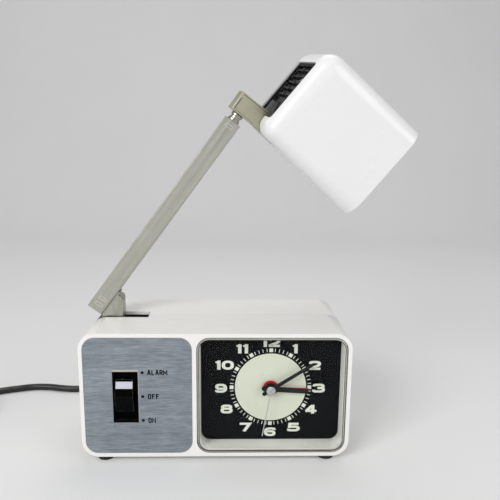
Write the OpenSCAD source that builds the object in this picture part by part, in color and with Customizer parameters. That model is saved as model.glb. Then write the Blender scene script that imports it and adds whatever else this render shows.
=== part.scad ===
// Light alarm clock: a bedside clock with a lamp on a folding arm.
// Millimetres. X runs along the clock face, Y from the face to the back, Z up.
// The origin is on the table, below the middle of the case.

/* [Case] */
// Width of the case
case_w = 200; // [180:1:230]
// Depth of the case
case_d = 90; // [84:1:110]
// Height of the case without its feet
case_h = 97; // [94:1:105]
// Radius of the four long corners
case_r = 12.5; // [11.5:0.5:14]
// Wall of the casing
wall = 2.6; // [2:0.1:3]
// Thickness of the front wall
front_wall = 3; // [2.5:0.1:4]
// Height of the feet
foot_h = 4; // [3:0.5:6]
// Radius of the feet
foot_r = 6; // [4:0.5:8]
// Distance of the feet from the sides
foot_inset = 16; // [14:1:22]
// Distance of the joint between the shells from the front
seam_depth = 46.5; // [45:0.5:48]
// Open line between the shells
seam_gap = 0.3; // [0.2:0.1:0.6]

/* [Front] */
// Width of the border round the plate and the window
rim_w = 3; // [2.7:0.1:4]
// Width of the bar between the plate and the window
divider_w = 3.4; // [3:0.1:5]
// Width of the faceplate
plate_w = 79.2; // [70:0.2:84]
// Corner radius of the faceplate and the window
plate_r = 9.5; // [8:0.5:10.5]
// Thickness of the faceplate
plate_t = 0.8; // [0.5:0.1:1.2]
// Thickness of the lens
lens_t = 2.4; // [2:0.1:3]
// Distance from the front of the case to the dial
dial_depth = 16; // [15:0.5:18]
// Wall of the white frame round the dial
tunnel_wall = 2; // [1.5:0.1:2.5]
// Thickness of the dial plate
dial_t = 1.2; // [0.8:0.1:2]
// Radius of the cream disc
disc_r = 27.4; // [24:0.2:29]
// Thickness of the cream disc
disc_t = 0.25; // [0.2:0.05:0.4]

/* [Hands] */
// Length of the hour hand
hour_len = 29; // [24:0.5:32]
// Width of the hour hand
hour_w = 4.3; // [2.6:0.1:4.7]
// Length of the minute hand
minute_len = 37; // [32:0.5:41]
// Width of the minute hand
minute_w = 3; // [2:0.1:3.4]
// Length of the alarm hand
alarm_len = 29; // [22:0.5:32]
// Width of the alarm hand
alarm_w = 1.8; // [1.4:0.1:2.4]
// Length of the seconds hand
second_len = 37.5; // [32:0.5:41]
// Width of the seconds hand
second_w = 0.8; // [0.6:0.1:1.2]
// Thickness of a hand
hand_t = 0.4; // [0.3:0.05:0.5]
// Clock angle of the hour hand
hour_angle = 94; // [0:0.1:360]
// Clock angle of the minute hand
minute_angle = 57; // [0:0.1:360]
// Clock angle of the alarm hand
alarm_angle = 91.5; // [0:0.1:360]
// Clock angle of the seconds hand
second_angle = 189.7; // [0:0.1:360]

/* [Switch] */
// Width of the switch opening
switch_w = 19.2; // [17:0.2:22]
// Height of the switch opening
switch_h = 41.6; // [38:0.2:44]
// Distance of the switch from the middle of the plate
switch_off_x = 9.1; // [6:0.1:12]
// Width of the rocker
rocker_w = 13.2; // [11:0.2:14]
// Height of the rocker
rocker_h = 25.3; // [22:0.1:28]
// Depth of the housing's floor behind the front
recess_depth = 4; // [3.4:0.2:5]
// Height of the white marker
marker_h = 5.2; // [4:0.2:7]

/* [Movement] */
// Distance between the movement's plates
plate_gap = 15; // [14.4:0.2:17]
// Thickness of the movement's plates
frame_t = 1.4; // [1:0.1:2]
// Half width of the movement's plates
frame_half = 27; // [26:0.5:29]
// Module of the gears
gear_m = 0.5; // [0.45:0.01:0.5]
// Thickness of the gears
gear_t = 1.2; // [1:0.1:1.4]
// Radius of the motor can
motor_r = 13; // [11:0.5:13.5]
// Length of the motor can
motor_len = 18; // [15:0.5:22]
// Radius of the setting knobs
knob_r = 7; // [6:0.5:8]
// Length of the setting knobs
knob_len = 9; // [7:0.5:12]

/* [Arm] */
// Length of the arm tube
arm_len = 182.5; // [160:0.5:190]
// Width of the arm tube
arm_w = 13.3; // [12:0.1:14]
// Depth of the arm tube
arm_d = 10; // [9:0.1:11]
// Wall of the arm tube
arm_wall = 1; // [0.8:0.1:1.4]
// Angle of the raised arm above the table
arm_angle = 53.6; // [50:0.1:57]
// Distance of the fold pin from the left side of the case
pivot_in = 14; // [13:0.5:15]
// Depth of the fold pin below the top of the case
pivot_down = 11.7; // [11:0.1:12.5]
// Radius of the fold pin
pivot_r = 3; // [2.5:0.1:3.2]
// Width of the slot in the top
slot_w = 15; // [14:0.5:17]
// Thickness of the bracket sheet
sheet_t = 1.2; // [1:0.1:1.5]

/* [Head] */
// Depth of the shade, front to back
shade_d = 60; // [56:1:66]
// Width of the shade at its closed end
shade_w = 78; // [74:1:82]
// Length of the shade from its closed end to its rim
shade_len = 96.5; // [90:0.5:104]
// How much wider the shade is at its rim
shade_taper = 4.6; // [2:0.2:6]
// Wall of the shade
shade_wall = 2.2; // [1.8:0.1:2.6]
// Distance of the tilt pin from the closed end
pin_in_x = 13.8; // [13:0.1:15]
// Distance of the tilt pin from the lower side
pin_in_z = 9; // [8.5:0.1:10]
// Width of the opening in the closed end
vent_w = 33; // [30:0.5:34]
// Length of the opening from the tilt pin to its upper end
vent_top = 53.5; // [52:0.5:56]
// Radius of the lower corners of the closed end
corner_low = 9; // [8:0.5:12]
// Turn of the head about the arm
head_turn = 14; // [0:1:30]
// Tilt of the head on its bracket
head_tilt = 3.8; // [0:0.1:6]
// Height of the head bracket
bracket_h = 15; // [14.6:0.1:16]
// Depth of the head bracket
bracket_d = 14.4; // [13.6:0.1:15]
// Distance from the arm's axis to the tilt pin
bracket_reach = 29; // [27:0.5:31]
// Radius of the bulb
bulb_r = 20; // [17:0.5:21]

/* [Cord] */
// Diameter of the mains lead
cord_d = 6; // [5:0.1:6.2]
// Length of the strain relief outside the case
relief_len = 22; // [18:0.5:22]
// Length of the plug's body
plug_len = 34; // [30:1:38]
// Width of the plug's body
plug_w = 35; // [32:0.5:37]
// Thickness of the plug's body
plug_h = 13.6; // [12.4:0.2:14.6]

/* [Fits] */
// Running clearance of a shaft in its hole
run_gap = 0.06; // [0.04:0.01:0.08]
// Clearance of a part that drops into place
fit_gap = 0.2; // [0.15:0.05:0.3]
// Clearance beside a part that swings
swing_gap = 0.4; // [0.3:0.05:0.5]
// Radius of a case screw
screw_r = 1.5; // [1.3:0.1:1.8]

/* [Hidden] */
$fn = 64;
eps = 0.01;

// Case planes
front_y = -case_d / 2;
back_y = case_d / 2;
top_z = foot_h + case_h;
mid_z = foot_h + case_h / 2;
seam_y = front_y + seam_depth;
lip_len = 2;
lip_t = 1.1;

// Front panels
panel_h = case_h - 2 * rim_w;
plate_x = -case_w / 2 + rim_w + plate_w / 2;
window_w = case_w - 2 * rim_w - divider_w - plate_w;
window_x = case_w / 2 - rim_w - window_w / 2;
plate_seat = plate_t + 0.1;
lens_back_y = front_y + lens_t;
dial_y = front_y + dial_depth;
dial_x = window_x;
dial_z = mid_z;
tunnel_gap = 0.3;

// Screws that hold the shells
boss_r = 5;
boss_start_y = dial_y + 7;
boss_in = 8.5;
boss_left_x = -40;
boss_top_drop = 7;
head_r = 2 * screw_r;
head_len = 2.2;
well_depth = 4;
CASE_SCREWS = [
    [-case_w / 2 + boss_in, foot_h + boss_in],
    [case_w / 2 - boss_in, foot_h + boss_in],
    [case_w / 2 - boss_in, top_z - boss_in],
    [boss_left_x, top_z - boss_top_drop]];

// Switch
switch_x = plate_x - switch_off_x + 0.1;
switch_wall = 1;
floor_y = front_y + recess_depth;
rocker_axis_y = floor_y + 3;
rocker_axis_r = 1.2;
rocker_ridge = 8.6;
rocker_edge = 5;
rocker_x = switch_x - 1.2;
marker_down = 1.7;
rocker_swing = 12;
housing_y = front_y + 0.2;
rocker_back_y = rocker_axis_y + rocker_h / 2 * sin(rocker_swing) + 0.6;
switch_body_len = 15;

// Movement: planes from the dial backwards
move_y = dial_y + dial_t + 3.8;
move_back_y = move_y + frame_t + plate_gap;
alarm_gear_y = move_y + frame_t + 0.8;
hour_gear_y = alarm_gear_y + gear_t + 0.8;
motion_gear_y = hour_gear_y + gear_t + 1.2;
second_gear_y = move_back_y - 3.4;
cannon_teeth = 12;
motion_teeth = 36;
leaf_teeth = 10;
hour_teeth = 40;
alarm_teeth = 48;
set_teeth = 12;
second_teeth = 40;
rotor_teeth = 8;
rotor_shaft_r = 1.2;
motion_dist = gear_m * (cannon_teeth + motion_teeth) / 2;
hour_m = 2 * motion_dist / (leaf_teeth + hour_teeth);
alarm_dist = gear_m * (alarm_teeth + set_teeth) / 2;
second_m = 0.8 * gear_m;
rotor_dist = second_m * (second_teeth + rotor_teeth) / 2;
set_x = dial_x - motion_dist;
alarm_set_x = dial_x + alarm_dist;
motor_z = dial_z + rotor_dist;
pillar_in = 3.4;
pillar_r = 2;

// Concentric arbors, from the inside out
second_shaft_r = 0.6;
minute_in = second_shaft_r + run_gap;
minute_out = minute_in + 0.7;
hour_in = minute_out + run_gap;
hour_out = hour_in + 0.7;
alarm_in = hour_out + run_gap;
alarm_out = alarm_in + 0.75;
arbor_r = 1.5;
alarm_hand_y = dial_y - 1.6;
hour_hand_y = alarm_hand_y - 1.8;
minute_hand_y = hour_hand_y - 1.8;
second_hand_y = minute_hand_y - 2;

// Knobs at the back
knob_shank_r = 2.6;
knob_hole_r = 3.2;
knob_wall_gap = 0.6;

// Fold joint
pivot_x = -case_w / 2 + pivot_in;
pivot_z = top_z - pivot_down;
arm_y = seam_y;
slot_left = 5;
slot_len = 40.2;
slot_x0 = -case_w / 2 + slot_left;
arm_lift = pivot_down + arm_w / 2 + 0.5;
arm_start = 6.8;
base_half = 5.8;
cheek_r = 7;
cheek_drop = 1;
cheek_from = 7;
cheek_to = 27.5;
web_x = 11.2;
web_top = 25;
carrier_half = base_half + 1.8;
carrier_t = 1.5;
carrier_floor = 15.8;
carrier_left = 6.2;
carrier_right = 26;
carrier_up = 7;
post_r = 3;
CARRIER_POSTS = [-4, 21];
post_y = arm_y + 5.1;
washer_t = 1.6;
bolt_r = 1.5;
bolt_at = 27;
nut_r = 3.2;
nut_t = 4.2;

// Arm frame: origin at the middle of the tube's upper end, Z along the arm, X towards the shade
plug_depth = 12;
swivel_r = 3.2;
swivel_bore = 2;
washer_r = 4.7;
washer_stack = 6.2;
flange_z = washer_stack + 0.3;
swivel_nut_t = 3;
bracket_back = 8;
pin_z = flange_z + bracket_h / 2;
flange_reach = 12;
tilt_r = 2.5;
bracket_nose = bracket_h / 2;

// Shade, in the head's frame: origin on the tilt pin, X to the rim, Z away from the arm
shade_x0 = -pin_in_x;
shade_z0 = -pin_in_z;
corner_x = 15;
corner_y = 11;
corner_z = 14;
vent_low_x = 8.5;
vent_z0 = 2.7;
slot_half = bracket_d / 2 + 2 * swing_gap;
lug_t = 2;
lug_y = bracket_d / 2 - sheet_t - swing_gap - lug_t;
pad_t = 1.6;
carrier_x = shade_x0 + shade_wall + pad_t;
grille_t = 1.8;
grille_z0 = 18.5;
bulb_z = shade_z0 + shade_w / 2 + 0.5;
holder_r = 13;
holder_wall = 2.6;
holder_x0 = carrier_x + grille_t;
holder_len = 30;
cap_r = 7;
cap_len = 17;
neck_x = holder_x0 + holder_len - 4;
bulb_x = neck_x + bulb_r + 6;
ear_y = vent_w / 2 + 1.9;
ear_r = 1.8;
ear_z = 38;

// Cord
cord_r = cord_d / 2;
relief_x = -60;
relief_z = 16;
relief_r = 6;
COIL_C = [-250, 15];
coil_r_out = 45;
coil_pitch = 6.5;
coil_turns = 3.375;
coil_climb = 0.5;
coil_end = 2 * coil_turns + coil_climb;
coil_rings = 24;
flat_cut = cord_d / 10;
coil_low = cord_r - flat_cut;
coil_step = 6.9;
settle = 0.1;
coil_lead = cord_d;
tie_angle = 300;
tie_w = 9;
tie_t = 1.2;
// Route of the free lead on the table, from the strain relief to the coil
ROUTE = [[-60, 67, 16], [-60, 73, 16], [-61, 83, 13], [-66, 92, 8], [-77, 97, 4], [-92, 95, 3],
    [-107, 88, 3], [-121, 80, 3], [-136, 75, 3], [-151, 76, 3], [-165, 79, 3], [-180, 79, 3],
    [-195, 75, 3], [-209, 70, 3], [-222, 65, 3], [-232, 61, 3], [-238, 60, 3], [-244, 60, 3]];
// Route of the lead from the coil to the plug
TAIL = [[-295, 9, 9.3], [-295, 3, 9.3], [-296, -8, 6.6], [-297, -19, 4.6], [-298, -30, 4.8], [-298, -41, 6.8],
    [-298, -47, 6.8]];
plug_x = -298;
plug_neck_y = -47;
plug_z = plug_h / 2;
neck_len = 14;
pin_len = 19;
pin_gap = 18.6;
pin_r = 2;

// Flat shapes
module rounded(w, h, r) {
    square([w - 2 * r, h], center = true);
    square([w, h - 2 * r], center = true);
    for (i = [-1, 1], j = [-1, 1])
        translate([i * (w / 2 - r), j * (h / 2 - r)]) circle(r);
}

// A flat shape drawn in X and Z, thick from y = 0 to t
module slab(t) {
    translate([0, t, 0]) rotate([90, 0, 0]) linear_extrude(t) children();
}

module rod_y(r, len) {
    translate([0, len, 0]) rotate([90, 0, 0]) cylinder(h = len, r = r);
}

module rod_x(r, len) {
    rotate([0, 90, 0]) cylinder(h = len, r = r);
}

module ring_y(r_out, r_in, len) {
    difference() {
        rod_y(r_out, len);
        translate([0, -1, 0]) rod_y(r_in, len + 2);
    }
}

function gear_points(teeth, m, phase) = [
    for (i = [0:teeth - 1], k = [0:3])
        let (
            pitch = 360 / teeth,
            share = [-0.3, -0.13, 0.13, 0.3][k],
            r = (k == 0 || k == 3) ? m * (teeth / 2 - 1.05) : m * (teeth / 2 + 0.85),
            a = phase + (i + share) * pitch
        )
        [r * cos(a), r * sin(a)]];

// Gear with a tooth that points along the phase angle, seen from the front
module gear_y(teeth, m, phase, len, bore) {
    difference() {
        slab(len) polygon(gear_points(teeth, m, phase));
        translate([0, -1, 0]) rod_y(bore, len + 2);
    }
}

// Case
module case_block(inset, y0, y1) {
    translate([0, y0, mid_z])
        slab(y1 - y0) rounded(case_w - 2 * inset, case_h - 2 * inset, case_r - inset);
}

module slot_cut() {
    translate([slot_x0, arm_y - slot_w / 2, top_z - 3 * wall])
        cube([slot_len, slot_w, 3 * wall + 1]);
}

module front_shell() color([0.95, 0.945, 0.92]) {
    difference() {
        union() {
            difference() {
                case_block(0, front_y, seam_y);
                case_block(wall, front_y + front_wall, seam_y + 1);
            }
            difference() {
                case_block(wall - eps, seam_y - 4, seam_y + lip_len);
                case_block(wall + lip_t, seam_y - 5, seam_y + lip_len + 1);
            }
            for (p = CASE_SCREWS)
                translate([p[0], boss_start_y, p[1]]) rod_y(boss_r, seam_y - boss_start_y);
        }
        difference() {
            case_block(-5, front_y - 5, seam_y + lip_len + 5);
            case_block(0, front_y - 6, seam_y);
            case_block(wall + fit_gap, seam_y - eps, seam_y + lip_len + 6);
        }
        translate([window_x, front_y - 1, mid_z])
            slab(front_wall + 2) rounded(window_w, panel_h, plate_r);
        translate([plate_x, front_y - 1, mid_z])
            slab(1 + plate_seat) rounded(plate_w + 2 * fit_gap, panel_h, plate_r);
        translate([switch_x, front_y, mid_z])
            cube([switch_w + 2 * fit_gap, 3 * front_wall, switch_h + 2 * fit_gap], center = true);
        for (p = CASE_SCREWS)
            translate([p[0], boss_start_y + 4, p[1]]) rod_y(screw_r - 0.2, seam_y - boss_start_y);
        slot_cut();
    }
}

module rear_shell() color([0.95, 0.945, 0.92]) {
    y0 = seam_y + seam_gap;
    difference() {
        union() {
            difference() {
                case_block(0, y0, back_y);
                case_block(wall, y0 - 1, back_y - wall);
            }
            for (p = CASE_SCREWS)
                translate([p[0], seam_y, p[1]]) rod_y(boss_r, back_y - wall - seam_y + eps);
            for (x = CARRIER_POSTS)
                translate([pivot_x + x, post_y, foot_h + wall - eps])
                    cylinder(h = pivot_z - carrier_floor - foot_h - wall, r = post_r);
        }
        difference() {
            case_block(wall - eps, y0 - 1, y0 + lip_len + fit_gap);
            case_block(wall + lip_t + 2 * fit_gap, y0 - 2, y0 + lip_len + 1);
        }
        for (p = CASE_SCREWS) {
            translate([p[0], y0 - 1, p[1]]) rod_y(screw_r + fit_gap, case_d);
            translate([p[0], back_y - well_depth, p[1]]) rod_y(head_r + fit_gap, case_d);
        }
        for (x = CARRIER_POSTS)
            translate([pivot_x + x, post_y, pivot_z - carrier_floor - 10])
                cylinder(h = 20, r = screw_r - 0.2);
        for (x = [set_x, alarm_set_x])
            translate([x, back_y - 2 * wall, dial_z]) rod_y(knob_hole_r, 4 * wall);
        translate([relief_x, back_y - 2 * wall, relief_z]) rod_y(relief_r - 1.4 + fit_gap, 4 * wall);
        for (i = [0:6])
            translate([-30 + 8 * i - 1.5, back_y - 2 * wall, foot_h + 12]) cube([3, 4 * wall, 14]);
        slot_cut();
    }
}

module faceplate() color([0.6, 0.64, 0.68]) {
    translate([plate_x, front_y + plate_seat - plate_t, mid_z]) difference() {
        slab(plate_t) rounded(plate_w, panel_h - 2 * fit_gap, plate_r);
        translate([switch_x - plate_x, 0, 0])
            cube([switch_w, 4 * plate_t, switch_h], center = true);
    }
}

module lens() color([0.85, 0.88, 0.88, 0.4]) {
    translate([window_x, front_y, mid_z])
        slab(lens_t) rounded(window_w - 2 * fit_gap, panel_h - 2 * fit_gap, plate_r - fit_gap);
}

module dial_frame() color([0.95, 0.94, 0.9]) {
    outer_w = window_w - 2 * tunnel_gap;
    outer_h = panel_h - 2 * tunnel_gap;
    translate([window_x, lens_back_y, mid_z]) difference() {
        union() {
            slab(dial_y - lens_back_y) rounded(outer_w, outer_h, plate_r - tunnel_gap);
            translate([-outer_w / 2 - 2.5, front_y + front_wall - lens_back_y, -outer_h / 3])
                cube([4, 1.6, 2 * outer_h / 3]);
        }
        translate([0, -1, 0]) slab(dial_depth + 2)
            rounded(outer_w - 2 * tunnel_wall, outer_h - 2 * tunnel_wall, plate_r - tunnel_wall);
    }
}

module dial_plate() color([0.05, 0.05, 0.055]) {
    translate([window_x, dial_y, mid_z]) difference() {
        slab(dial_t) rounded(window_w - 2 * tunnel_gap, panel_h - 2 * tunnel_gap, plate_r - tunnel_gap);
        translate([dial_x - window_x, -1, 0]) rod_y(alarm_out + 0.7, dial_t + 2);
    }
}

module dial_disc() color([0.9, 0.9, 0.82]) {
    translate([dial_x, dial_y - disc_t, dial_z]) ring_y(disc_r, alarm_out + 0.7, disc_t);
}

module feet() color([0.08, 0.08, 0.08]) {
    for (i = [-1, 1], j = [-1, 1])
        translate([i * (case_w / 2 - foot_inset), j * (case_d / 2 - foot_inset / 2), 0])
            cylinder(h = foot_h, r = foot_r);
    // The pad under the middle sits on the front shell and ends short of the joint
    translate([0, seam_y - seam_gap - foot_r, 0]) cylinder(h = foot_h, r = foot_r);
}

module case_screws() color([0.6, 0.6, 0.62]) {
    len = 50;
    for (p = CASE_SCREWS) translate([p[0], back_y - well_depth, p[1]]) {
        translate([0, -len, 0]) rod_y(screw_r - 0.25, len);
        difference() {
            rod_y(head_r, head_len);
            translate([0, head_len, 0]) cube([0.8, 2, 2 * head_r - 1.2], center = true);
        }
    }
}

module strain_relief() color([0.07, 0.07, 0.07]) {
    translate([relief_x, back_y, relief_z]) {
        rotate([-90, 0, 0]) cylinder(h = relief_len, r1 = relief_r, r2 = cord_r + 0.6);
        translate([0, -wall, 0]) rod_y(relief_r - 1.4, wall + eps);
        translate([0, -wall - 5, 0]) rod_y(relief_r, 5);
    }
}

module terminal_block() color([0.92, 0.92, 0.88]) {
    size = [30, 14, 10];
    translate([-58, seam_y + 18, foot_h + wall]) difference() {
        cube(size);
        for (i = [0:2], j = [0, 1])
            translate([5 + 10 * i, 3.5 + 7 * j, 4]) cylinder(h = size[2], r = 2);
    }
}

// Switch
module switch_housing() color([0.05, 0.05, 0.05]) {
    len = rocker_back_y - housing_y;
    outer = [switch_w - 2 * fit_gap, switch_h - 2 * fit_gap];
    difference() {
        translate([switch_x, housing_y, mid_z]) difference() {
            union() {
                translate([-outer[0] / 2, 0, -outer[1] / 2]) cube([outer[0], len, outer[1]]);
                translate([-outer[0] / 2 - 3, front_y + front_wall - housing_y, -outer[1] / 2 - 3])
                    cube([outer[0] + 6, 1.6, outer[1] + 6]);
            }
            translate([-outer[0] / 2 + switch_wall, -1, -outer[1] / 2 + switch_wall])
                cube([outer[0] - 2 * switch_wall, 1 + floor_y - housing_y, outer[1] - 2 * switch_wall]);
            translate([rocker_x - switch_x - rocker_w / 2 - swing_gap, 0, -rocker_h / 2 - 2 * swing_gap])
                cube([rocker_w + 2 * swing_gap, len + 1, rocker_h + 4 * swing_gap]);
        }
        translate([rocker_x - rocker_w / 2 - 1.8, rocker_axis_y, mid_z])
            rod_x(rocker_axis_r + run_gap, rocker_w + 3.6);
    }
}

module switch_body() color([0.16, 0.16, 0.17]) {
    body = [rocker_w + 3, switch_body_len, rocker_h + 6];
    translate([switch_x, rocker_back_y, mid_z]) {
        translate([-body[0] / 2, 0, -body[2] / 2]) cube(body);
        for (i = [-1:1])
            translate([-2.5, body[1] - eps, i * 9 - 0.4]) cube([5, 7, 0.8]);
    }
}

module rocker() color([0.06, 0.06, 0.06]) {
    half = rocker_h / 2;
    translate([rocker_x, rocker_axis_y, mid_z]) {
        difference() {
            translate([-rocker_w / 2, 0, 0]) rotate([90, 0, 90]) linear_extrude(rocker_w)
                polygon([[0, -half], [-rocker_edge, -half], [-rocker_ridge, 0],
                    [-rocker_edge, half], [0, half]]);
            marker_block(2);
        }
        translate([-rocker_w / 2 - 1.2, 0, 0]) rod_x(rocker_axis_r, rocker_w + 2.4);
    }
}

// The marker lies in the rocker's upper slope; above it the block is as high as proud says
module marker_block(proud) {
    half = rocker_h / 2;
    slope = atan((rocker_ridge - rocker_edge) / half);
    wide = rocker_w - 0.8;
    translate([-wide / 2, -rocker_edge, half]) rotate([-slope, 0, 0])
        translate([0, -proud, -marker_h - marker_down]) cube([wide, 0.8 + proud, marker_h]);
}

module rocker_marker() color([0.95, 0.95, 0.93])
    translate([rocker_x, rocker_axis_y, mid_z]) marker_block(0.1);

// Movement
module movement_plate(y, holes) {
    translate([dial_x, y, dial_z]) difference() {
        slab(frame_t) rounded(2 * frame_half, 2 * frame_half, 4);
        for (h = holes)
            translate([h[0], -1, h[1]]) rod_y(h[2], frame_t + 2);
    }
}

module movement_front_plate() color([0.78, 0.7, 0.45])
    movement_plate(move_y, [
        [0, 0, alarm_out + run_gap],
        [alarm_dist, 0, arbor_r + run_gap]]);

module movement_rear_plate() color([0.78, 0.7, 0.45])
    movement_plate(move_back_y, [
        [0, 0, second_shaft_r + run_gap],
        [-motion_dist, 0, arbor_r + run_gap],
        [alarm_dist, 0, arbor_r + run_gap],
        [0, rotor_dist, rotor_shaft_r + run_gap]]);

module movement_pillars() color([0.8, 0.72, 0.5]) {
    at = frame_half - pillar_in;
    for (i = [-1, 1], j = [-1, 1]) translate([dial_x + i * at, 0, dial_z + j * at]) {
        translate([0, move_y + frame_t, 0]) rod_y(pillar_r, plate_gap);
        translate([0, dial_y + dial_t, 0]) rod_y(pillar_r, move_y - dial_y - dial_t);
    }
}

module motor_can() color([0.7, 0.7, 0.72]) {
    translate([dial_x, move_back_y + frame_t, motor_z]) difference() {
        rod_y(motor_r, motor_len);
        translate([0, -1, 0]) rod_y(rotor_shaft_r + run_gap, 3);
        translate([0, 1, 0]) rod_y(motor_r - 1, motor_len - 2);
    }
}

module motor_coil() color([0.72, 0.42, 0.2]) {
    translate([dial_x, move_back_y + frame_t + 1, motor_z])
        ring_y(motor_r - 1.3, 7.4, motor_len - 2.2);
}

module motor_rotor() color([0.35, 0.35, 0.37]) {
    gear_start = second_gear_y - 0.3;
    drum_y = move_back_y + frame_t + 3;
    translate([dial_x, 0, motor_z]) {
        translate([0, drum_y, 0]) rod_y(6.6, motor_len - 6);
        translate([0, gear_start, 0]) rod_y(rotor_shaft_r, drum_y + eps - gear_start);
        translate([0, gear_start, 0])
            gear_y(rotor_teeth, second_m, 270 + 180 / rotor_teeth, gear_t + 0.6, 0.3);
    }
}

module seconds_wheel() color([0.8, 0.7, 0.4]) {
    start = second_hand_y - 0.6;
    translate([dial_x, 0, dial_z]) {
        translate([0, second_gear_y, 0]) gear_y(second_teeth, second_m, 90, gear_t, second_shaft_r - eps);
        translate([0, start, 0]) rod_y(second_shaft_r, move_back_y + frame_t - 0.3 - start);
    }
}

// A pointer along clock angle a, with a round hub
module pointer(len, tail, w_tip, w_root, hub_r, bore, a) {
    rotate([0, a, 0]) difference() {
        slab(hand_t) union() {
            polygon([[-w_root / 2, 0], [-w_tip / 2, len], [w_tip / 2, len], [w_root / 2, 0]]);
            translate([-w_root / 2, -tail + w_root / 2]) square([w_root, tail]);
            translate([0, -tail + w_root / 2]) circle(w_root / 2);
            circle(hub_r);
        }
        translate([0, -1, 0]) rod_y(bore, hand_t + 2);
    }
}

module seconds_hand() color([0.75, 0.76, 0.78]) {
    translate([dial_x, second_hand_y, dial_z]) {
        pointer(second_len, 3, second_w, second_w, 3.4, second_shaft_r, second_angle);
        translate([0, -0.9, 0]) ring_y(2.6, second_shaft_r, 0.9 + eps);
    }
}

module minute_pipe() color([0.8, 0.7, 0.4]) {
    translate([dial_x, 0, dial_z]) {
        translate([0, minute_hand_y - 0.5, 0])
            ring_y(minute_out, minute_in, motion_gear_y + 2.4 - minute_hand_y + 0.5);
        translate([0, motion_gear_y - 0.2, 0]) gear_y(cannon_teeth, gear_m, 180, 2.2, minute_out - eps);
    }
}

module minute_hand() color([0.05, 0.05, 0.05])
    translate([dial_x, minute_hand_y, dial_z])
        pointer(minute_len, 7.5, minute_w - 0.6, minute_w, 4.2, minute_out, minute_angle);

module hour_wheel() color([0.8, 0.7, 0.4]) {
    translate([dial_x, 0, dial_z]) {
        translate([0, hour_hand_y - 0.5, 0])
            ring_y(hour_out, hour_in, hour_gear_y + gear_t - hour_hand_y + 0.5);
        translate([0, hour_gear_y, 0]) gear_y(hour_teeth, hour_m, 180, gear_t, hour_out - eps);
    }
}

module hour_hand() color([0.05, 0.05, 0.05])
    translate([dial_x, hour_hand_y, dial_z])
        pointer(hour_len, 7, hour_w - 0.6, hour_w, 4.7, hour_out, hour_angle);

module alarm_wheel() color([0.8, 0.7, 0.4]) {
    translate([dial_x, 0, dial_z]) {
        translate([0, alarm_hand_y - 0.4, 0])
            ring_y(alarm_out, alarm_in, alarm_gear_y + gear_t - alarm_hand_y + 0.4);
        translate([0, alarm_gear_y, 0]) gear_y(alarm_teeth, gear_m, 0, gear_t, alarm_out - eps);
    }
}

module alarm_hand() color([0.78, 0.08, 0.1])
    translate([dial_x, alarm_hand_y, dial_z])
        pointer(alarm_len, 0.9, alarm_w - 0.6, alarm_w, 6, alarm_out, alarm_angle);

module alarm_contact() color([0.75, 0.6, 0.3]) {
    translate([dial_x - 7, move_y + frame_t, dial_z - frame_half + 2]) {
        cube([14, 7, 5]);
        for (x = [2, 8])
            translate([x, 6, 4]) cube([4, 0.3, 9]);
    }
}

module motion_wheel() color([0.8, 0.7, 0.4]) {
    translate([set_x, 0, dial_z]) {
        translate([0, motion_gear_y + 0.3, 0])
            gear_y(motion_teeth, gear_m, 180 / motion_teeth, gear_t, arbor_r - eps);
        translate([0, hour_gear_y - 0.2, 0])
            gear_y(leaf_teeth, hour_m, 180 / leaf_teeth, motion_gear_y - hour_gear_y + 0.5, arbor_r - eps);
        translate([0, hour_gear_y - 0.4, 0]) rod_y(arbor_r, back_y + 6 - hour_gear_y + 0.4);
    }
}

module knob(x) {
    difference() {
        translate([x, back_y + knob_wall_gap, dial_z]) {
            difference() {
                slab(knob_len) polygon([for (i = [0:71])
                    let (r = knob_r - (i % 2) * 0.35)
                    [r * cos(5 * i), r * sin(5 * i)]]);
                translate([0, knob_len, 0]) rotate([90, 0, 0]) cylinder(h = 1, r = knob_r - 2);
            }
            translate([0, -wall - knob_wall_gap - 2, 0]) rod_y(knob_shank_r, wall + knob_wall_gap + 2 + eps);
        }
        translate([x, 0, dial_z]) rod_y(arbor_r, back_y + 6);
    }
}

module time_knob() color([0.93, 0.92, 0.88]) knob(set_x);

module alarm_knob() color([0.78, 0.08, 0.1]) knob(alarm_set_x);

module alarm_pinion() color([0.8, 0.7, 0.4]) {
    translate([alarm_set_x, 0, dial_z]) {
        translate([0, alarm_gear_y - 0.2, 0])
            gear_y(set_teeth, gear_m, 180 + 180 / set_teeth, gear_t + 0.4, arbor_r - eps);
        translate([0, move_y, 0]) rod_y(arbor_r, back_y + 6 - move_y);
    }
}

// Fold joint; the children are drawn about the fold pin
module at_pivot() {
    translate([pivot_x, arm_y, pivot_z]) children();
}

module hinge_carrier() color([0.66, 0.66, 0.64]) {
    at_pivot() difference() {
        union() {
            translate([-carrier_left, -carrier_half - carrier_t, -carrier_floor])
                cube([carrier_left + carrier_right, 2 * (carrier_half + carrier_t), carrier_t]);
            for (y = [-carrier_half - carrier_t, carrier_half])
                translate([0, y, 0]) slab(carrier_t)
                    polygon([[-carrier_left, -carrier_floor], [carrier_right, -carrier_floor],
                        [carrier_left, carrier_up], [-carrier_left, carrier_up]]);
        }
        translate([0, -carrier_half - 5, 0]) rod_y(pivot_r, 2 * carrier_half + 10);
        for (x = CARRIER_POSTS)
            translate([x, post_y - arm_y, -carrier_floor - 1]) cylinder(h = carrier_t + 2, r = screw_r);
    }
}

module carrier_screws() color([0.6, 0.6, 0.62]) {
    at_pivot() for (x = CARRIER_POSTS)
        translate([x, post_y - arm_y, -carrier_floor + carrier_t]) {
            cylinder(h = 1.6, r = 1.6 * screw_r);
            translate([0, 0, -9]) cylinder(h = 9.01, r = screw_r - 0.25);
        }
}

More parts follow.
